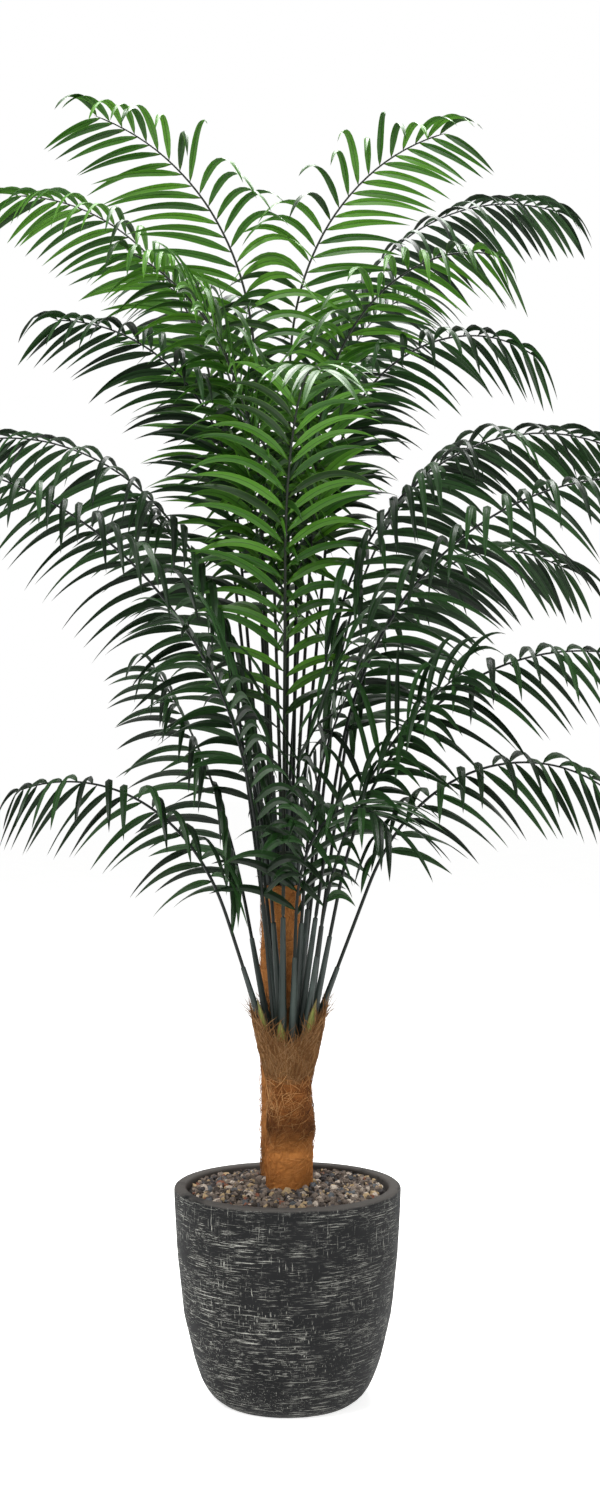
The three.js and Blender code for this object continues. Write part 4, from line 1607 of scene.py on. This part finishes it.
@dataclass
class Pot:
    """The round tapered pot, in millimetres.

    Args:
        outer: Rows of radius and height in millimetres of its outer wall, upwards.
        base: Radius of the flat base.
        wall: Thickness of the wall.
        floor: Thickness of the floor.
        edge: Rounding of the rim.
        handwork: Heights of the wall's long and short unevenness.
        sides: Points round it.
    """

    outer: list[tuple[float, float]]
    base: float = 120
    wall: float = 21
    floor: float = 30
    edge: float = 5
    handwork: tuple[float, float] = (0.5, 0.22)
    sides: int = 200

    def build(self) -> None:
        """Make the pot: its eased profile turned about the axis, with a faint unevenness by hand."""
        low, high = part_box("pot")
        height = high[2] / MM
        rim = self.outer[-1][0]
        inner = [(radius - self.wall, level) for radius, level in self.outer if level > self.floor][::-1]
        outside = ease_profile([(self.base, 0), *self.outer, (rim, height - self.edge)], 4, 6)
        top = [(rim - 1, height - 2.2), (rim - 3.5, height - 0.4), (rim - 6, height),
               (rim - self.wall + 5, height), (rim - self.wall + 1.4, height - 1.4)]
        inside = ease_profile([(rim - self.wall, height - 5), *inner, (inner[-1][0], self.floor)], 8, 2)
        profile = np.concatenate([[[self.base - 3, 0]], outside, top, inside, [[40, self.floor]]]) * MM
        rings = revolve(profile, self.sides, np.zeros(2))
        outward = unit(rings * [1, 1, 0])
        broad, fine = self.handwork
        uneven = broad * ripple(rings, 0.11, 5) + fine * ripple(rings, 0.02, 6)
        steady = smooth_step(rings[..., 2] / 0.02)
        rings = rings + outward * (uneven * steady)[..., None] * MM
        poles = np.array([[[0, 0, 0], [0, 0, self.floor * MM]]])
        LOG.info("pot rim %.1f mm across", (high[0] - low[0]) / MM)
        add_piece("pot_shell", ring_bodies(rings, poles), POT_FINISH.build(), ["pot"])


@dataclass
class Gravel:
    """The layer of crushed stones that covers the soil, in millimetres.

    Args:
        radius: Radius of the layer.
        edge: Height of its surface at the pot's wall.
        mound: How much higher its middle is.
        spacing: Mean distance between stones.
        depth: How far the disc of painted gap shade lies below the stones' surface.
        seed: Which random set.
    """

    radius: float = 174
    edge: float = 365
    mound: float = 6
    spacing: float = 11.4
    depth: float = 4
    seed: int = 71

    def surface_height(self, points: np.ndarray) -> np.ndarray:
        """Height of the stones' surface: the edge, plus the mound less its square fall, plus a low ripple.

        Args:
            points: Places in metres, with x, y, z last.

        Returns:
            One height in metres per place.
        """
        share = np.linalg.norm(points[..., :2], axis=-1) / (self.radius * MM)
        level = points * [1, 1, 0]
        return (self.edge + self.mound * (1 - share ** 2) + 1.6 * ripple(level, 0.08, self.seed)) * MM

    def gap_shade(self) -> Surface:
        """A rough disc between the stones, coloured as the painted shade in their gaps, with its underside on
        the soil.

        Returns:
            The disc, with tone 0 in the layer named tone, which gives it the painted gap-shade colour.
        """
        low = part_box("gravel")[0][2] / MM
        radii = np.linspace(self.radius, 4, 60)
        rows = np.concatenate([[[self.radius, low + 1]], np.stack([radii, np.full(60, self.edge)], -1)]) * MM
        rings = revolve(rows, 120, np.zeros(2))
        level = rings[:, 1:]
        rings[:, 1:, :, 2] = self.surface_height(level) + (ripple(level, 0.014, 9) - self.depth) * MM
        top = self.surface_height(np.zeros((1, 3)))[0] - self.depth * MM
        return ring_bodies(rings, np.array([[[0, 0, (low + 1) * MM], [0, 0, top]]]), {"tone": np.zeros(1)})

    def stone_places(self, trunks: list[Trunk], rng: np.random.Generator) -> tuple[np.ndarray, np.ndarray]:
        """Scatter the stones: an even triangular grid, moved by up to half of the spacing, laid twice.

        Stones in the trunks or the wall are left out.

        Args:
            trunks: The trunks that the stones lie round.
            rng: Source of the scatter and the sizes.

        Returns:
            The x and y of each stone, and its radius, in metres.
        """
        span = np.arange(-self.radius, self.radius, self.spacing)
        x, y = np.meshgrid(span, span * 0.87)
        x = x + (np.arange(len(span)) % 2)[:, None] * self.spacing / 2
        place = np.stack([x.ravel(), y.ravel()], -1) + rng.uniform(-0.5, 0.5, (x.size, 2)) * self.spacing
        place = np.concatenate([place, place + rng.uniform(-8, 8, place.shape)]) * MM
        grade = np.clip(rng.lognormal(1.77, 0.33, len(place)), 3, 10) * MM
        kept = np.linalg.norm(place, axis=-1) < self.radius * MM - grade
        for trunk in trunks:
            clear = trunk.profile[0][0] * MM + grade * 0.6
            kept &= np.linalg.norm(place - trunk.centre[:2], axis=-1) > clear
        return place[kept], grade[kept]

    def stones(self, trunks: list[Trunk]) -> Surface:
        """Angular stones: a six-sided ball of three rings, squashed, knocked about and turned at random.

        Args:
            trunks: The trunks that the stones lie round.

        Returns:
            The stones, with a tone each in the layer named tone.
        """
        rng = np.random.default_rng(self.seed)
        place, grade = self.stone_places(trunks, rng)
        count = len(place)
        surface = self.surface_height(np.concatenate([place, np.zeros((count, 1))], -1))
        height = surface - grade * 0.15 + rng.normal(0, 1.2, count) * MM
        centre = np.concatenate([place, height[:, None]], -1)
        tilt = np.radians([35, 90, 145])[:, None] * np.ones(6)
        turn = np.arange(6) * (math.pi / 3) + np.array([0, math.pi / 6, 0])[:, None]
        ball = np.stack([np.sin(tilt) * np.cos(turn), np.sin(tilt) * np.sin(turn), -np.cos(tilt)], -1)
        points = np.concatenate([[[0, 0, -1.0]], ball.reshape(-1, 3), [[0, 0, 1.0]]])
        knocked = points * rng.uniform(0.74, 1.16, (count, len(points), 1))
        squash = rng.uniform([0.8, 0.65, 0.5], [1.25, 1.0, 0.85], (count, 3))
        knocked = knocked * (squash * grade[:, None])[:, None]
        first = unit(rng.normal(size=(count, 3)))
        second = unit(np.cross(first, rng.normal(size=(count, 3))))
        axes = np.stack([first, second, np.cross(first, second)], 1)
        turned = np.einsum("nvi,nij->nvj", knocked, axes) + centre[:, None]
        rings = turned[:, 1:-1].reshape(count, 3, 6, 3)
        return ring_bodies(rings, turned[:, [0, -1]], {"tone": rng.uniform(0.07, 1, count)})

    def build(self, trunks: list[Trunk]) -> None:
        """Make the gravel's piece.

        Args:
            trunks: The trunks that it lies round.
        """
        surface = join([self.gap_shade(), self.stones(trunks)])
        add_piece("gravel_stones", surface, PEBBLE_FINISH.build(), ["gravel"], Shading.FACETED)


# ---- Room, light and camera ----------------------------------------------------------------------


@dataclass(frozen=True)
class Lamp:
    """A square soft light.

    Args:
        name: The light's name.
        place: Where it hangs, in metres.
        target: Height in metres of the point over the pot that it faces.
        size: Its side in metres.
        power: Its power in watts.
    """

    name: str
    place: tuple[float, float, float]
    target: float
    size: float
    power: float

    def hang(self) -> None:
        """Add the light, turned to its target."""
        light = bpy.data.lights.new(self.name, "AREA")
        light.energy = self.power
        light.size = self.size
        lamp = bpy.data.objects.new(self.name, light)
        gaze = Vector((0, 0, self.target)) - Vector(self.place)
        lamp.location = self.place
        lamp.rotation_euler = gaze.to_track_quat("-Z", "Y").to_euler()
        bpy.context.scene.collection.objects.link(lamp)


@dataclass
class Studio:
    """A pale floor, even white surroundings, soft lights and the camera.

    Args:
        place: Where the camera is, in metres.
        lens: Its focal length in millimetres.
        film: Width of its film in millimetres.
        surround: How brightly the white surroundings light the palm.
        reach: How far the floor goes each way, in metres.
        glow: How brightly the floor glows, which keeps the shadows on it pale.
        lamps: The soft lights.
    """

    place: tuple[float, float, float] = (0.022, -3.53, 1.142)
    lens: float = 47.88
    film: float = 36
    surround: float = 0.32
    reach: float = 40.0
    glow: float = 0.7
    lamps: tuple[Lamp, ...] = (
        Lamp("key_light", (-2.2, -2.8, 3.9), 1.2, 1.6, 130),
        Lamp("fill_light", (2.6, -2.2, 2.4), 1.0, 2.0, 36),
        Lamp("top_light", (0.3, 0.9, 4.4), 1.2, 2.0, 215),
    )

    def floor(self) -> None:
        """Lay a wide pale floor under the pot."""
        mesh = bpy.data.meshes.new("floor")
        far = self.reach
        mesh.from_pydata([(-far, -far, 0), (far, -far, 0), (far, far, 0), (-far, far, 0)], [], [(0, 1, 2, 3)])
        d = Dressing("pale_floor", Specular_IOR_Level=0.1, Emission_Strength=self.glow)
        d.shader.inputs["Emission Color"].default_value = (1, 1, 1, 1)
        speck = d.noise(d.place((3, 3, 3)), 1.0, 2.0)
        colour = d.ramp(speck, [(0.3, "#f2f2f1"), (0.7, "#f6f6f5")])
        mesh.materials.append(d.finish(colour, 0.9, speck, 0.02, MM))
        floor = bpy.data.objects.new("floor", mesh)
        bpy.context.scene.collection.objects.link(floor)

    def room(self) -> None:
        """Surround the palm with white: full to the camera and weaker as light."""
        world = bpy.data.worlds.new("white_room")
        world.use_nodes = True
        tree = world.node_tree
        seen = tree.nodes.new("ShaderNodeLightPath").outputs["Is Camera Ray"]
        level = tree.nodes.new("ShaderNodeMapRange")
        background = tree.nodes["Background"]
        tree.links.new(seen, level.inputs["Value"])
        level.inputs["To Min"].default_value = self.surround
        tree.links.new(level.outputs["Result"], background.inputs["Strength"])
        background.inputs["Color"].default_value = (1, 1, 1, 1)
        bpy.context.scene.world = world

    def camera(self) -> None:
        """Set up the camera, level and facing the palm."""
        camera = bpy.data.cameras.new("camera")
        camera.lens = self.lens
        camera.sensor_width = self.film
        holder = bpy.data.objects.new("camera", camera)
        holder.location = self.place
        holder.rotation_euler = (math.radians(90), 0, 0)
        bpy.context.scene.collection.objects.link(holder)
        bpy.context.scene.camera = holder

    def build(self) -> None:
        """Set up everything round the palm."""
        bpy.context.scene.view_settings.view_transform = "Standard"
        self.floor()
        self.room()
        for lamp in self.lamps:
            lamp.hang()
        self.camera()


# ---- The palm ------------------------------------------------------------------------------------


POT_WALL = [(137, 12), (151.5, 36), (165.6, 75), (183, 151), (195, 258), (200, 364)]
FRONT_TRUNK = [(38, 340), (38, 364), (41, 417), (39.5, 440), (41, 477), (40, 509), (38, 545), (40, 568),
               (41, 588), (41, 600)]
REAR_TRUNK = [(36, 340), (36, 364), (37, 480), (35.5, 600), (37, 720), (36, 820), (34.5, 896)]
COLLAR_FLARE = [(38.5, 556), (41.5, 572), (45, 588), (49.5, 603), (54.5, 625), (59.5, 650), (63.5, 676)]
LEAF_BASES = [
    LeafBase("sheath_left", 214, 26, 114, 4),
    LeafBase("sheath_centre", 255, 25, 76, -4),
    LeafBase("sheath_right", 316, 26, 114, 7),
]
FROND_SEED = 100


def corners(box: tuple) -> list[list[float]]:
    """Write a box as two plain lists of numbers."""
    return [[float(value) for value in corner] for corner in box]


def main() -> None:
    """Build the studio and every piece of the palm."""
    logging.basicConfig(level=logging.INFO, format="%(name)s %(message)s")
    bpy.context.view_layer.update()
    Studio().build()
    trunks = {
        "front": Trunk("trunk_front", FRONT_TRUNK, bulge=4, bulge_height=477, seed=11),
        "rear": Trunk("trunk_rear", REAR_TRUNK, bulge=0, bulge_height=600, seed=12),
    }
    Pot(POT_WALL).build()
    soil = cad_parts["soil"].data
    soil.materials.clear()
    soil.materials.append(SOIL_FINISH.build())
    Gravel().build(list(trunks.values()))
    trunks["front"].build(FRONT_COIR)
    trunks["rear"].build(REAR_COIR)
    FibreCollar(trunks["front"], COLLAR_FLARE).build(COLLAR_COIR)
    sheath = SHEATH_FINISH.build()
    for base in LEAF_BASES:
        base.build(trunks["front"], sheath)
    leaves = {tone: finish.build() for tone, finish in LEAF_FINISHES.items()}
    sleeve = SLEEVE_FINISH.build()
    builder = FrondBuilder()
    for number, frond in enumerate(FRONDS):
        builder.build(frond, trunks[frond.trunk], FROND_SEED + number, leaves[frond.tone], sleeve)


if __name__ == "__main__":
    main()
